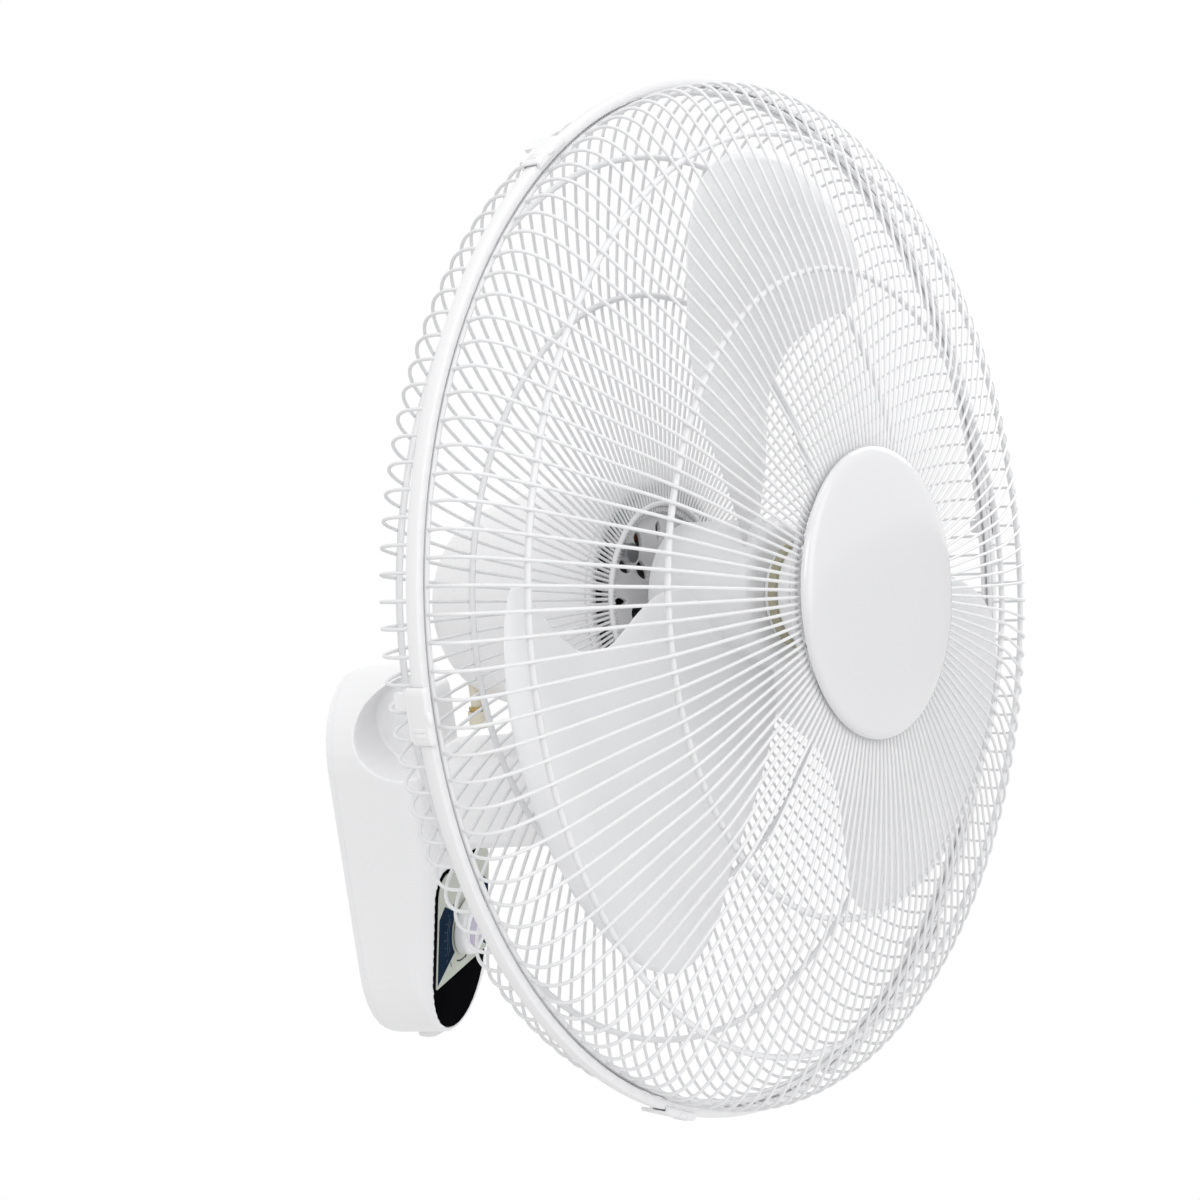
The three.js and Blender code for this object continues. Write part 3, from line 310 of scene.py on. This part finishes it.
def lathe(profile, sides, closed=False, start=0.0, sweep=360.0):
    """Turns [radius, y] points about the Y axis: vertices and faces. A closed profile joins its two ends."""
    full = abs(sweep - 360) < 1e-6
    count = sides if full else sides + 1
    verts, faces, n = [], [], len(profile)
    for i in range(count):
        a = math.radians(start + sweep * i / sides)
        for r, y in profile:
            verts.append((r * math.sin(a), y, r * math.cos(a)))
    for i in range(sides):
        j = (i + 1) % count if full else i + 1
        for k in range(n if closed else n - 1):
            after = (k + 1) % n
            a, b, c, d = i * n + k, i * n + after, j * n + after, j * n + k
            if profile[k][0] < 1e-6:
                faces.append((a, b, c))
            elif profile[after][0] < 1e-6:
                faces.append((a, b, d))
            else:
                faces.append((a, b, c, d))
    return verts, faces


def rounded(points, radius, steps):
    """Rounds the corners of a closed 2D outline; radius is one number or one for each corner."""
    out, n = [], len(points)
    for i, r in enumerate(np.broadcast_to(radius, n)):
        p0, p, p1 = (Vector(points[(i + k) % n]) for k in (-1, 0, 1))
        a, b = (p0 - p), (p1 - p)
        half = a.angle(b) / 2
        d = min(r / max(math.tan(half), 1e-3), a.length * 0.49, b.length * 0.49)
        q0, q1 = p + a.normalized() * d, p + b.normalized() * d
        for k in range(steps + 1):
            t = k / steps
            out.append(tuple((1 - t) ** 2 * q0 + 2 * t * (1 - t) * p + t * t * q1))
    return out


def final_mesh(o):
    """The mesh of a helper object with its modifiers or its fill; the object itself goes away."""
    scene.collection.objects.link(o)
    bpy.context.view_layer.update()
    me = bpy.data.meshes.new_from_object(o.evaluated_get(bpy.context.evaluated_depsgraph_get()))
    bpy.data.objects.remove(o)
    me.materials.clear()
    return me


def plate_mesh(name, outlines, thick, bevel):
    """A flat plate with holes: closed 2D outlines in x and z, rounded edges, from y = 0 back to y = thick."""
    cu = bpy.data.curves.new(name, "CURVE")
    cu.dimensions = "2D"
    cu.fill_mode = "BOTH"
    cu.extrude = (thick / 2 - bevel) * MM
    cu.bevel_depth = bevel * MM
    cu.bevel_resolution = 2
    cu.offset = -bevel * MM
    for pts in outlines:
        s = cu.splines.new("POLY")
        s.points.add(len(pts) - 1)
        for q, (x, z) in zip(s.points, pts):
            q.co = (x * MM, z * MM, 0, 1)
        s.use_cyclic_u = True
    me = final_mesh(bpy.data.objects.new(name, cu))
    me.name = name
    # the curve's plane is x, y: turned so that its y becomes z, and its front faces -y
    me.transform(Matrix.Translation((0, thick / 2 * MM, 0)) @ Matrix.Rotation(math.radians(90), 4, "X"))
    return me


def circle(r, n):
    return [(r * math.sin(TAU * i / n), r * math.cos(TAU * i / n)) for i in range(n)]


def softened(source, name, voxel, rounds, body):
    """A white copy of a CAD node with its facets melted together: remeshed, then relaxed."""
    o = bpy.data.objects.new(name, source.data.copy())
    remesh = o.modifiers.new("remesh", "REMESH")
    remesh.mode = "VOXEL"
    remesh.voxel_size = voxel * MM
    remesh.use_smooth_shade = True
    relax = o.modifiers.new("relax", "SMOOTH")
    relax.factor = 0.5
    relax.iterations = rounds
    me = final_mesh(o)
    me.name = name
    piece(name, me, body, [WHITE], (source.name,), 50)


# ---------------------------------------------------------------- guards
WIRES = 138
WIRE_R = 0.68
RING_STEPS = 180


def guard(name, source, profile, rings, phase):
    """Radial wires along the profile of [radius, forward], and rings of [radius, forward, wire radius]."""
    b = Build()
    path = smooth_line(profile, 5)
    line = np.stack([np.zeros(len(path)), -OUT - path[:, 1], path[:, 0]], 1)
    verts, faces = tube(line, WIRE_R, 8)
    for i in range(WIRES):
        b.add(turn_y(verts, (i + phase) * 360 / WIRES), faces)
    a = np.arange(RING_STEPS) * TAU / RING_STEPS
    for r, forward, size in rings:
        line = np.stack([r * np.sin(a), np.full(RING_STEPS, -OUT - forward), r * np.cos(a)], 1)
        b.add(*tube(line, size, 10, closed=True))
    b.make(name, "head", [WIRE], HEAD, (source,))


front_line = [(54.0, 50.6), (57.0, 53.6), (62.0, 54.7), (90.0, 53.2), (131.0, 48.9), (160.0, 40.2),
              (188.0, 31.0), (201.0, 25.4), (208.4, 20.6), (212.0, 15.4), (212.9, 10.6), (212.4, 6.2),
              (211.6, 3.6), (211.3, 1.8)]
rear_line = [(38.0, -49.9), (46.0, -50.0), (80.0, -50.0), (110.0, -49.9), (133.0, -48.5), (160.0, -42.6),
             (189.7, -33.2), (201.5, -27.8), (208.6, -22.0), (212.2, -16.0), (213.0, -11.0), (212.4, -6.2),
             (211.6, -3.6), (211.3, -1.8)]
guard("front_guard_wires", "front_guard", front_line,
      [(57.4, 52.0, 1.3), (133.0, 46.6, 1.3), (189.7, 28.8, 1.3), (211.2, 1.7, 1.1)], 0.0)
guard("rear_guard_wires", "rear_guard", rear_line,
      [(42.0, -48.9, 1.3), (133.0, -46.8, 1.3), (189.7, -31.4, 1.3), (211.2, -1.7, 1.1)], 0.5)

# ---------------------------------------------------------------- band
BAND_IN, BAND_OUT, BAND_HALF = 213.2, 217.0, 2.8
BAND_SIDES = 300
BAND_GAP = 2.4  # degrees between the band's two ends, at the bottom

# a C section, open towards the fan axis, with turned-in lips
front_half = [(BAND_OUT, BAND_HALF - 0.8), (BAND_OUT - 0.25, BAND_HALF - 0.25), (BAND_OUT - 0.8, BAND_HALF),
              (BAND_IN + 0.8, BAND_HALF), (BAND_IN + 0.25, BAND_HALF - 0.3), (BAND_IN, BAND_HALF - 0.7),
              (BAND_IN + 0.3, BAND_HALF - 1.1), (BAND_OUT - 1.5, BAND_HALF - 1.1),
              (BAND_OUT - 1.2, BAND_HALF - 1.5)]
section = front_half + [(r, -y) for r, y in front_half[::-1]]
verts, faces = lathe(ahead(section), BAND_SIDES, closed=True, start=180 + BAND_GAP / 2, sweep=360 - BAND_GAP)
n = len(section)
faces += [tuple(range(n)), tuple(BAND_SIDES * n + k for k in range(n))[::-1]]
band = Build()
band.add(verts, faces)
band.make("guard_band_ring", "head", [WHITE], HEAD, ("guard_band",), 35)

# ---------------------------------------------------------------- clips
CLIP_END, CLIP_SEAT = 215.6, 217.3  # its hooks' ends and its seat on the band, from the fan axis
CLIP_WALL = 1.4
CLIP_LIP = BAND_HALF + 0.3  # from the middle plane to the hooks
CLIP_FAR = CLIP_LIP + CLIP_WALL
LEAF_CENTRE = (5.3, -CLIP_FAR - 3.1)


def clip_mesh():
    """One clip over the band at the top: it is drawn along x, with the forward direction as -y."""
    b = Build()
    outline = rounded([(CLIP_FAR, CLIP_END), (CLIP_FAR, CLIP_SEAT + CLIP_WALL),
                       (-CLIP_FAR, CLIP_SEAT + CLIP_WALL), (-CLIP_FAR, CLIP_END), (-CLIP_LIP, CLIP_END),
                       (-CLIP_LIP, CLIP_SEAT), (CLIP_LIP, CLIP_SEAT), (CLIP_LIP, CLIP_END)],
                      [0.4, 1.2, 1.2, 0.4, 0.4, 0.3, 0.3, 0.4], 4)
    # place along the clip, width, and drop of the top: it is narrower and lower at its ends
    stations = [(-10.0, 0.80, -0.8), (-9.5, 0.93, -0.3), (-8.4, 0.985, -0.05), (-7.0, 1.0, 0.0),
                (7.0, 1.0, 0.0), (8.4, 0.985, -0.05), (9.5, 0.93, -0.3), (10.0, 0.80, -0.8)]
    verts = []
    for x, wide, drop in stations:
        for forward, r in outline:
            top = max(0.0, (r - CLIP_SEAT) / CLIP_WALL)
            if abs(forward) > CLIP_LIP + 0.01:
                forward = math.copysign(CLIP_LIP + (abs(forward) - CLIP_LIP) * (0.55 + 0.45 * wide), forward)
            verts.append((x, -OUT - forward, r + drop * top))
    b.add(verts, skin(len(stations), len(outline)))

    # the finger leaf behind the band, between two wires of the rear guard
    leaf = rounded([(2.0, -CLIP_FAR + 0.4), (8.6, -CLIP_FAR + 0.4), (8.6, -CLIP_FAR - 5.6),
                    (2.0, -CLIP_FAR - 5.6)], [0.2, 0.2, 1.7, 1.7], 5)
    rows = [(0.93, -0.35), (1.0, -0.1), (1.0, 0.8), (0.985, 1.05), (0.94, 1.2)]
    cx, cy = LEAF_CENTRE
    b.add([(cx + (x - cx) * k, -OUT - (cy + (y - cy) * k), CLIP_SEAT + up) for k, up in rows for x, y in leaf],
          skin(len(rows), len(leaf)))
    # the round hinge that the leaf turns on
    b.add(*tube([(x, -OUT + CLIP_FAR - 0.1, CLIP_SEAT + 0.3) for x in np.linspace(-8.6, 9.4, 12)], 1.1, 14))

    # two low thumb ridges across the top
    ridge = rounded([(-0.8, -2.6), (0.8, -2.6), (0.8, 2.6), (-0.8, 2.6)], 0.7, 4)
    rows = [(1.0, -0.3), (1.0, 0.1), (0.8, 0.35)]
    for middle in (-6.6, -4.6):
        b.add([(middle + x * k, -OUT - y * k, CLIP_SEAT + CLIP_WALL + up) for k, up in rows for x, y in ridge],
              skin(len(rows), len(ridge)))
    # a stop that swells out of the front edge
    b.add(*tube([(x, -OUT - CLIP_FAR + 0.2, CLIP_SEAT + 0.2) for x in np.linspace(-3.4, 1.8, 8)],
                [0.6, 1.0, 1.25, 1.35, 1.35, 1.25, 1.0, 0.6], 12))
    return np.concatenate(b.v), b.f


verts, faces = clip_mesh()
for i in range(6):
    clip = Build()
    clip.add(turn_y(verts, 30 + 60 * i), faces)
    clip.make(f"clip_{i + 1}_shell", f"clip_{i + 1}", [WHITE], HEAD,
              (f"band_clip_{i + 1}",), 40)

# ---------------------------------------------------------------- cap on the front guard
CAP_SEAT = 56.5  # its rim's back, in front of the middle plane
cap = Build()
dome = [(0.0, 5.98), (12, 5.9), (24, 5.68), (36, 5.3), (46, 4.8), (53, 4.25), (56.6, 3.75), (58.6, 3.1),
        (59.7, 2.2), (60.0, 1.2), (60.0, 0.4), (59.6, 0.05), (58.2, 0.05), (57.8, 1.6), (54, 2.3), (30, 3.4),
        (0.0, 3.8)]
cap.add(*lathe(ahead((r, CAP_SEAT + y) for r, y in dome), SIDES))
leg = rounded([(-4, 51.4), (4, 51.4), (4, 53.8), (-4, 53.8)], 0.5, 2)
verts = [(x, -OUT - y, r) for y in (CAP_SEAT + 2.7, 48.0) for x, r in leg]
for a in (0, 120, 240):
    cap.add(turn_y(verts, a), skin(2, len(leg)))
cap.make("guard_cap_disc", "head", [GLOSS], HEAD, ("guard_cap",), 42)

# ---------------------------------------------------------------- blades and hub
# distance out, clockwise edge, counter-clockwise edge, rise along the arc, place in front of the middle plane
STATIONS = [(31.8, 44, -45, 0.46, -3), (50, 38.5, -41.5, 0.42, -2), (65, 32.7, -38, 0.36, -1),
            (90, 25, -34.5, 0.28, 0), (115, 26.5, -30, 0.21, 2), (140, 34, -26.7, 0.165, 6),
            (160, 38.5, -23.2, 0.13, 10), (168, 37, -21, 0.12, 11.8), (176, 31, -17.5, 0.11, 13.3),
            (182, 22, -11.5, 0.105, 14.4), (185, 13, -5, 0.1, 15), (186.2, 7, 1, 0.1, 15.2)]
STEPS_ACROSS = 32
BLADE_HALF = 1.15  # half its thickness
THIN_FROM, THIN_TO = 181, 187.5  # distances out over which the blade would thin to nothing
CAMBER, CAMBER_SPREAD = 5, 72  # the forward bulge, on a blade that is 72 from its middle to an edge
BLADES = 3
BLADE_TURN = 4  # degrees from straight up
HUB_RIBS = 12


def blade_mesh():
    """The blade that points up, as closed rows from the hub to the tip."""
    known = np.array([s[0] for s in STATIONS], float)
    out = np.unique(np.concatenate([np.linspace(31.8, 160, 30), np.linspace(160, 180, 10),
                                    np.linspace(180, 186.2, 9)]))

    def along(column):
        """The column's values at each distance out, on cubic curves between the stations."""
        y = np.array([s[column] for s in STATIONS], float)
        slope = np.gradient(y, known)
        values = []
        for r in out:
            k = min(max(np.searchsorted(known, r) - 1, 0), len(known) - 2)
            h = known[k + 1] - known[k]
            t = (r - known[k]) / h
            values.append((2 * t ** 3 - 3 * t ** 2 + 1) * y[k] + (t ** 3 - 2 * t ** 2 + t) * h * slope[k]
                          + (-2 * t ** 3 + 3 * t ** 2) * y[k + 1] + (t ** 3 - t ** 2) * h * slope[k + 1])
        return values

    rows = []
    for r, cw, ccw, rise, forward in zip(out, along(1), along(2), along(3), along(4)):
        middle, spread = math.radians(cw + ccw) / 2, math.radians(cw - ccw) / 2
        taper = 1.0 if r < THIN_FROM else max(0.3, (THIN_TO - r) / (THIN_TO - THIN_FROM))
        front, rear = [], []
        for c in range(STEPS_ACROSS + 1):
            u = -math.cos(math.pi * c / STEPS_ACROSS)  # denser towards the edges
            camber = CAMBER * (1 - u * u) * (spread * r / CAMBER_SPREAD)
            half = BLADE_HALF * math.sqrt(max(0.0, 1 - abs(u) ** 9)) * taper
            a = middle - u * spread
            y = -OUT - (forward + rise * u * spread * r + camber)
            front.append((r * math.sin(a), y - half, r * math.cos(a)))
            if 0 < c < STEPS_ACROSS:
                rear.append((r * math.sin(a), y + half, r * math.cos(a)))
        rows.append(front + rear[::-1])
    return [q for row in rows for q in row], skin(len(rows), len(rows[0]))


prop = Build()
verts, faces = blade_mesh()
for i in range(BLADES):
    prop.add(turn_y(verts, BLADE_TURN + i * 360 / BLADES), faces)
hub = [(4.1, 14.0), (26.0, 14.0), (28.6, 13.5), (30.6, 12.2), (32.0, 10.0), (32.8, 7.0), (33.0, 3.5),
       (33.0, -35.4), (32.6, -36.0), (30.8, -36.0), (30.4, -35.2), (30.4, 3.6), (29.2, 8.6), (25.4, 11.4),
       (11.2, 11.4), (10.0, 10.2), (10.0, -35.4), (9.4, -36.0), (4.6, -36.0), (4.1, -35.4)]
prop.add(*lathe(ahead(hub), FEWER_SIDES, closed=True))
# ribs between the boss and the hub's wall
rib = ahead([(9.6, -30), (30.6, -30), (30.6, 6), (26, 11.6), (9.6, 11.6)])
verts = [(x, y, r) for x in (-0.8, 0.8) for r, y in rib]
for i in range(HUB_RIBS):
    prop.add(turn_y(verts, BLADE_TURN + i * 360 / HUB_RIBS), skin(2, len(rib)))
prop.make("blades_and_hub", "spinner", [BLADE], HEAD, ("propeller",), 38)

# ---------------------------------------------------------------- nut
NUT_SIDES = 120
GROOVES = 24
GROOVE_DEPTH = 0.9
OLIVE_ROWS = range(3, 8)  # the grooved collar
# radius, place in front of the middle plane, and how far the grooves cut in
rows = [(4.1, 14.3, 0), (19.6, 14.3, 0), (20.4, 14.9, 0), (20.8, 17.4, 0), (22.5, 17.7, 0), (22.9, 18.2, 1),
        (22.9, 20.8, 1), (22.5, 21.3, 0), (20.9, 21.5, 0), (20.2, 24.9, 0.2), (19.4, 26.0, 0), (17.5, 26.3, 0),
        (0, 26.3, 0)]
faces = lathe([(r, y) for r, y, cut in rows], NUT_SIDES)[1]
verts = []
for i in range(NUT_SIDES):
    a = TAU * i / NUT_SIDES
    groove = (0.5 - 0.5 * math.cos(a * GROOVES)) ** 3
    for r, y, cut in rows:
        r = max(0.0, r - cut * GROOVE_DEPTH * groove)
        verts.append((r * math.sin(a), -OUT - y, r * math.cos(a)))
nut = Build()
nut.add(verts, faces)
nut.m = [0 if q % (len(rows) - 1) in OLIVE_ROWS else 1 for q in range(len(faces))]
nut.make("blade_nut_grip", "spinner", [OLIVE, WHITE], HEAD, ("blade_nut",), 35)

# ---------------------------------------------------------------- motor cover
motor = Build()
# from the front edge's inside over the wall to the domed rear
cover = [(49.6, -46.6), (49.6, -50.2), (51.3, -50.2), (51.9, -49.7), (52.0, -48.9), (52.0, -30.0),
         (52.0, -10.0), (52.0, 6.0)]
rear = smooth_line([(51.6, 12.0), (50.0, 18.6), (47.9, 28.5), (45.0, 39.6), (40.6, 47.4), (34.8, 53.2),
                    (28.6, 56.8), (21.8, 58.9), (11, 59.8), (0.0, 60.0)], 3)
motor.add(*lathe(cover + [(max(r, 0.0), y) for r, y in rear], SIDES))

# the round skirt over the neck: [radius, z], and its top follows the inside of the cover
SKIRT_SIDES = 96
ROOF_RADIUS, ROOF_SINK = 51.7, 0.6
skirt = [(22.2, -50.0), (22.0, -53.2), (22.4, -53.7), (24.5, -53.7), (25.0, -53.2), (25.0, -50.0),
         (25.2, -47.5), (26.2, -45.4), (27.8, -44.2)]
verts = []
for i in range(SKIRT_SIDES):
    a = TAU * i / SKIRT_SIDES
    for r, z in skirt:
        x, y = r * math.sin(a), r * math.cos(a)
        roof = -math.sqrt(max(0.0, ROOF_RADIUS ** 2 - x * x)) + ROOF_SINK
        verts.append((x, y, max(z, roof) if z > -50.5 else z))
n = len(skirt)
faces = []
for i in range(SKIRT_SIDES):
    j = (i + 1) % SKIRT_SIDES
    faces += [(i * n + k, i * n + k + 1, j * n + k + 1, j * n + k) for k in range(n - 1)]
motor.add(verts, faces)
motor.make("motor_shell", "head", [WHITE], HEAD, ("motor_cover",), 40)

# ---------------------------------------------------------------- motor face
VENT_STEPS = 20
FACE_FRONT = -52.4
SLOTS = 16


def vent(r, degrees, length, width):
    """A drop shaped vent, its point towards the centre."""
    drop = []
    for k in range(VENT_STEPS):
        t = TAU * k / VENT_STEPS
        drop.append((width * math.sin(t) * (0.72 + 0.28 * math.cos(t)), 0, r + length * math.cos(t)))
    return [(x, z) for x, _, z in turn_y(drop, degrees)]


outlines = [circle(37.2, 96), circle(8.0, 24)]
outlines += [vent(29.6, 8 + 30 * k, 4.4, 3.5 if k % 3 else 2.4) for k in range(12)]
outlines += [vent(18.0, 22 + 60 * k, 5.2, 4.2) for k in range(6)]
face = plate_mesh("face", outlines, 2.4, 0.4)
face.transform(HEAD @ Matrix.Translation((0, FACE_FRONT * MM, 0)))

# two rings round the face, and the bars between them, which leave the short slots
rim = Build()
rim.add(*lathe([(37.0, -50.6), (37.0, -52.9), (37.5, -53.45), (41.2, -53.45), (41.8, -52.9), (41.8, -50.6)],
               SIDES, closed=True))
rim.add(*lathe([(48.6, -50.6), (48.6, -53.0), (49.1, -53.45), (51.2, -53.45), (51.9, -52.8), (51.9, -50.6)],
               SIDES, closed=True))
bar = [(41.6, -50.7), (48.8, -50.7), (48.8, -52.6), (41.6, -52.6)]
verts = [(x, y, r) for x in (-1.3, 1.3) for r, y in bar]
for k in range(SLOTS):
    rim.add(turn_y(verts, k * 360 / SLOTS), skin(2, len(bar)))
rim.make("motor_face_rim", "head", [WHITE], HEAD, angle=40)
# a dark ring just behind the short slots, in the dark plastic finish: painted shade, standing for the shade
# inside the motor that shows through the slots
painted_shade_ring = Build()
painted_shade_ring.add(*lathe([(41.4, -50.75), (41.4, -51.3), (49.0, -51.3), (49.0, -50.75)], SIDES, closed=True))
painted_shade_ring.make("motor_face_painted_shade", "head", [DARK], HEAD, angle=40)
piece("motor_face", face, "head", [WHITE], ("motor_front_plate",), 40)


# ---------------------------------------------------------------- dial sheet and its marks
def polar(r, degrees):
    return r * math.sin(math.radians(degrees)), r * math.cos(math.radians(degrees))


def arc(r, a0, a1, steps=20):
    return [polar(r, a0 + (a1 - a0) * k / steps) for k in range(steps + 1)]


def stroke(pts, width):
    """A line of some width as a closed outline."""
    p = np.array(pts, float)
    d = np.gradient(p, axis=0)
    d /= np.linalg.norm(d, axis=1)[:, None]
    side = np.stack([-d[:, 1], d[:, 0]], 1) * width / 2
    return [tuple(q) for q in p + side] + [tuple(q) for q in (p - side)[::-1]]


DIGITS = [[[(-0.8, 0), (-0.62, 1.05), (0, 1.45), (0.62, 1.05), (0.8, 0), (0.62, -1.05), (0, -1.45),
            (-0.62, -1.05), (-0.8, 0)]],
          [[(-0.5, 0.85), (0.15, 1.45), (0.15, -1.45)]],
          [[(-0.75, 0.75), (-0.5, 1.3), (0.1, 1.45), (0.7, 1.0), (0.55, 0.3), (-0.75, -1.4), (0.8, -1.4)]],
          [[(-0.7, 1.1), (0, 1.45), (0.65, 0.95), (0.45, 0.3), (-0.15, 0.08), (0.6, -0.25), (0.7, -0.85),
            (0.1, -1.42), (-0.75, -1.1)]]]
DIGIT_SCALE = 0.95
SHEET_FRONT = -1.1  # of the sheet, in the panel's frame
FIELD, MARK, SCALE = 0, 1, 2  # the three inks' places in the list of materials

sheet = rounded([(30.6, 32.6), (30.6, -22), (-30.6, -22), (-30.6, 32.6)], [11, 0.4, 0.4, 11], 8)
me = plate_mesh("sheet", [sheet, circle(4.5, 32)], 0.8, 0.15)
me.transform(PANEL @ Matrix.Translation((0, SHEET_FRONT * MM, 0)))
piece("dial_sheet", me, "base", [LABEL], ("dial_plate",), 40)
dial = Build()


def ink(outline, kind, proud=0.06, depth=0.02):
    """A flat mark, drawn as a closed outline in x and z, from so far in front of the sheet to so far inside."""
    y0, y1 = SHEET_FRONT - proud, SHEET_FRONT + depth
    dial.add([(x, y, z) for y in (y0, y1) for x, z in outline], skin(2, len(outline)), kind)


for s in (-1, 1):
    ink(arc(14.6, s * 134, s * 46) + [(s * 24.0, 17.4), (s * 30.3, 12.6), (s * 30.3, -20.4)], FIELD)
    for r in (18.4, 20.4):
        ink(stroke(arc(r, s * 116, s * 62), 0.25), SCALE, 0.09, -0.03)
    for a in range(60, 121, 10):
        ink(stroke([polar(r, s * a) for r in (22.2, 23.6)], 0.3), SCALE, 0.09, -0.03)
for number, (a, kind, depth) in enumerate([(0, MARK, 0.03), (40, MARK, 0.03), (80, SCALE, -0.03),
                                           (120, SCALE, -0.03)]):
    x, z = polar(18.4, a)
    for line in DIGITS[number]:
        ink(stroke([(x + DIGIT_SCALE * q[0], z + DIGIT_SCALE * q[1]) for q in line], 0.42), kind, 0.12, depth)
ink(stroke(arc(17.2, 206, 166), 0.9), MARK)
ink([(2.6, -15.7), (5.8, -16.2), (3.4, -18.4)], MARK)
ink(stroke([(-15.2, -13.6), (-14.2, -16.2)], 0.7), MARK)
ink(stroke([(-22.6, 18.2), (-20.6, 17.2)], 0.7), MARK)
for k in range(5):
    ink(stroke(arc(19.6, -20 - 7 * k, -22.5 - 7 * k, 2), 0.7 + 0.35 * k), MARK)
dial.make("dial_marks", "base", [NAVY, INK, FAINT], PANEL, smooth=False)

# ---------------------------------------------------------------- speed knob
KNOB_BACK = -1.6  # in the panel's frame
KNOB_TIP = KNOB_BACK - 7
# [radius, place behind the tip] of the rounded front edge and of the hollow for the insert
edge = [(13.6, 3.0), (13.4, 1.7), (12.9, 0.8), (12.2, 0.25), (11.3, 0), (10.5, 0.05), (9.9, 0.4), (9.5, 0.9),
        (9.4, 1.8), (3.1, 1.8)]
knob = Build()
knob.add(*lathe([(3.1, KNOB_BACK), (12.8, KNOB_BACK), (13.4, KNOB_BACK - 0.4), (13.6, KNOB_BACK - 1.1)]
                + [(r, KNOB_TIP + y) for r, y in edge], SIDES, closed=True))
knob.make("speed_knob_shell", "speed_control", [WHITE], PANEL, ("speed_knob",), 50)

insert = Build()
disc = [(0.0, 0.32), (5, 0.36), (7.6, 0.44), (8.5, 0.6), (9.0, 0.95), (9.1, 1.5), (0.0, 1.5)]
insert.add(*lathe([(r, KNOB_TIP + y) for r, y in disc], FEWER_SIDES))
# the pointer's bar, a little narrower at its top
bar = rounded([(0.9, 7.4), (0.9, 2), (-0.9, 2), (-0.9, 7.4)], 0.8, 5)
verts = [(x, KNOB_TIP + y, z) for y in (0.5, -0.3) for x, z in bar]
verts += [(x * 0.6, KNOB_TIP - 0.6, 4.7 + (z - 4.7) * 0.9) for x, z in bar]
insert.add(verts, skin(3, len(bar)))
insert.make("knob_face", "speed_control", [LILAC], PANEL, ("knob_insert",), 45)

# ---------------------------------------------------------------- base and neck
SEAM_FRONT, SEAM_BACK = -5.6, -4.2  # of the rib that closes the seam between back cover and housing


def capsule(width, height):
    r, h = width / 2, (height - width) / 2
    top = [(r * math.cos(math.pi * k / 36), h + r * math.sin(math.pi * k / 36)) for k in range(37)]
    return top + [(-x, -z) for x, z in top]


softened(NODES["base_housing"], "housing_shell", 0.8, 9, "base")
outer, inner = capsule(79.4, 180.4), capsule(75.6, 176.6)
corners = [(outer, SEAM_FRONT), (outer, SEAM_BACK), (inner, SEAM_BACK), (inner, SEAM_FRONT)]
n = len(outer)
seam = Build()
seam.add([(x, y, z) for loop, y in corners for x, z in loop],
         [(a * n + k, a * n + (k + 1) % n, b * n + (k + 1) % n, b * n + k)
          for a, b in ((0, 1), (1, 2), (2, 3), (3, 0)) for k in range(n)])
seam.make("back_cover_rib", "base", [WHITE], BASE, angle=40)
softened(NODES["neck"], "neck_shell", 0.7, 5, "neck")

# ---------------------------------------------------------------- floor: pale paper, plain white to the camera
WHITE_LIGHT = (1, 1, 1, 1)
floor = bpy.data.meshes.new("floor")
floor.from_pydata([(-6, -6, -0.62), (6, -6, -0.62), (6, 6, -0.62), (-6, 6, -0.62)], [], [(0, 1, 2, 3)])
floor_object = bpy.data.objects.new("floor", floor)
scene.collection.objects.link(floor_object)
m = bpy.data.materials.new("floor_paper")
m.use_nodes = True
nt = m.node_tree
nt.nodes.clear()
out = node(nt, "ShaderNodeOutputMaterial")
paper = node(nt, "ShaderNodeBsdfPrincipled")
paper.inputs["Base Color"].default_value = (0.8, 0.8, 0.8, 1)
paper.inputs["Roughness"].default_value = 0.9
glow = node(nt, "ShaderNodeEmission")
glow.inputs[0].default_value = WHITE_LIGHT
rays = node(nt, "ShaderNodeLightPath")
mix = node(nt, "ShaderNodeMixShader")
nt.links.new(rays.outputs["Is Camera Ray"], mix.inputs[0])
nt.links.new(paper.outputs[0], mix.inputs[1])
nt.links.new(glow.outputs[0], mix.inputs[2])
nt.links.new(mix.outputs[0], out.inputs[0])
floor.materials.append(m)

# ---------------------------------------------------------------- world: soft light, white where it is seen
SOFT_LIGHT = 0.73
world = bpy.data.worlds.new("world")
scene.world = world
world.use_nodes = True
nt = world.node_tree
nt.nodes.clear()
out = node(nt, "ShaderNodeOutputWorld")
soft = node(nt, "ShaderNodeBackground")
soft.inputs[0].default_value = WHITE_LIGHT
soft.inputs[1].default_value = SOFT_LIGHT
white = node(nt, "ShaderNodeBackground")
white.inputs[0].default_value = WHITE_LIGHT
white.inputs[1].default_value = 1.0
rays = node(nt, "ShaderNodeLightPath")
direct = node(nt, "ShaderNodeMath", operation="MAXIMUM")
seen = node(nt, "ShaderNodeMath", operation="MAXIMUM")
mix = node(nt, "ShaderNodeMixShader")
nt.links.new(rays.outputs["Is Camera Ray"], direct.inputs[0])
nt.links.new(rays.outputs["Is Glossy Ray"], direct.inputs[1])
nt.links.new(direct.outputs[0], seen.inputs[0])
nt.links.new(rays.outputs["Is Transmission Ray"], seen.inputs[1])
nt.links.new(seen.outputs[0], mix.inputs[0])
nt.links.new(soft.outputs[0], mix.inputs[1])
nt.links.new(white.outputs[0], mix.inputs[2])
nt.links.new(mix.outputs[0], out.inputs[0])
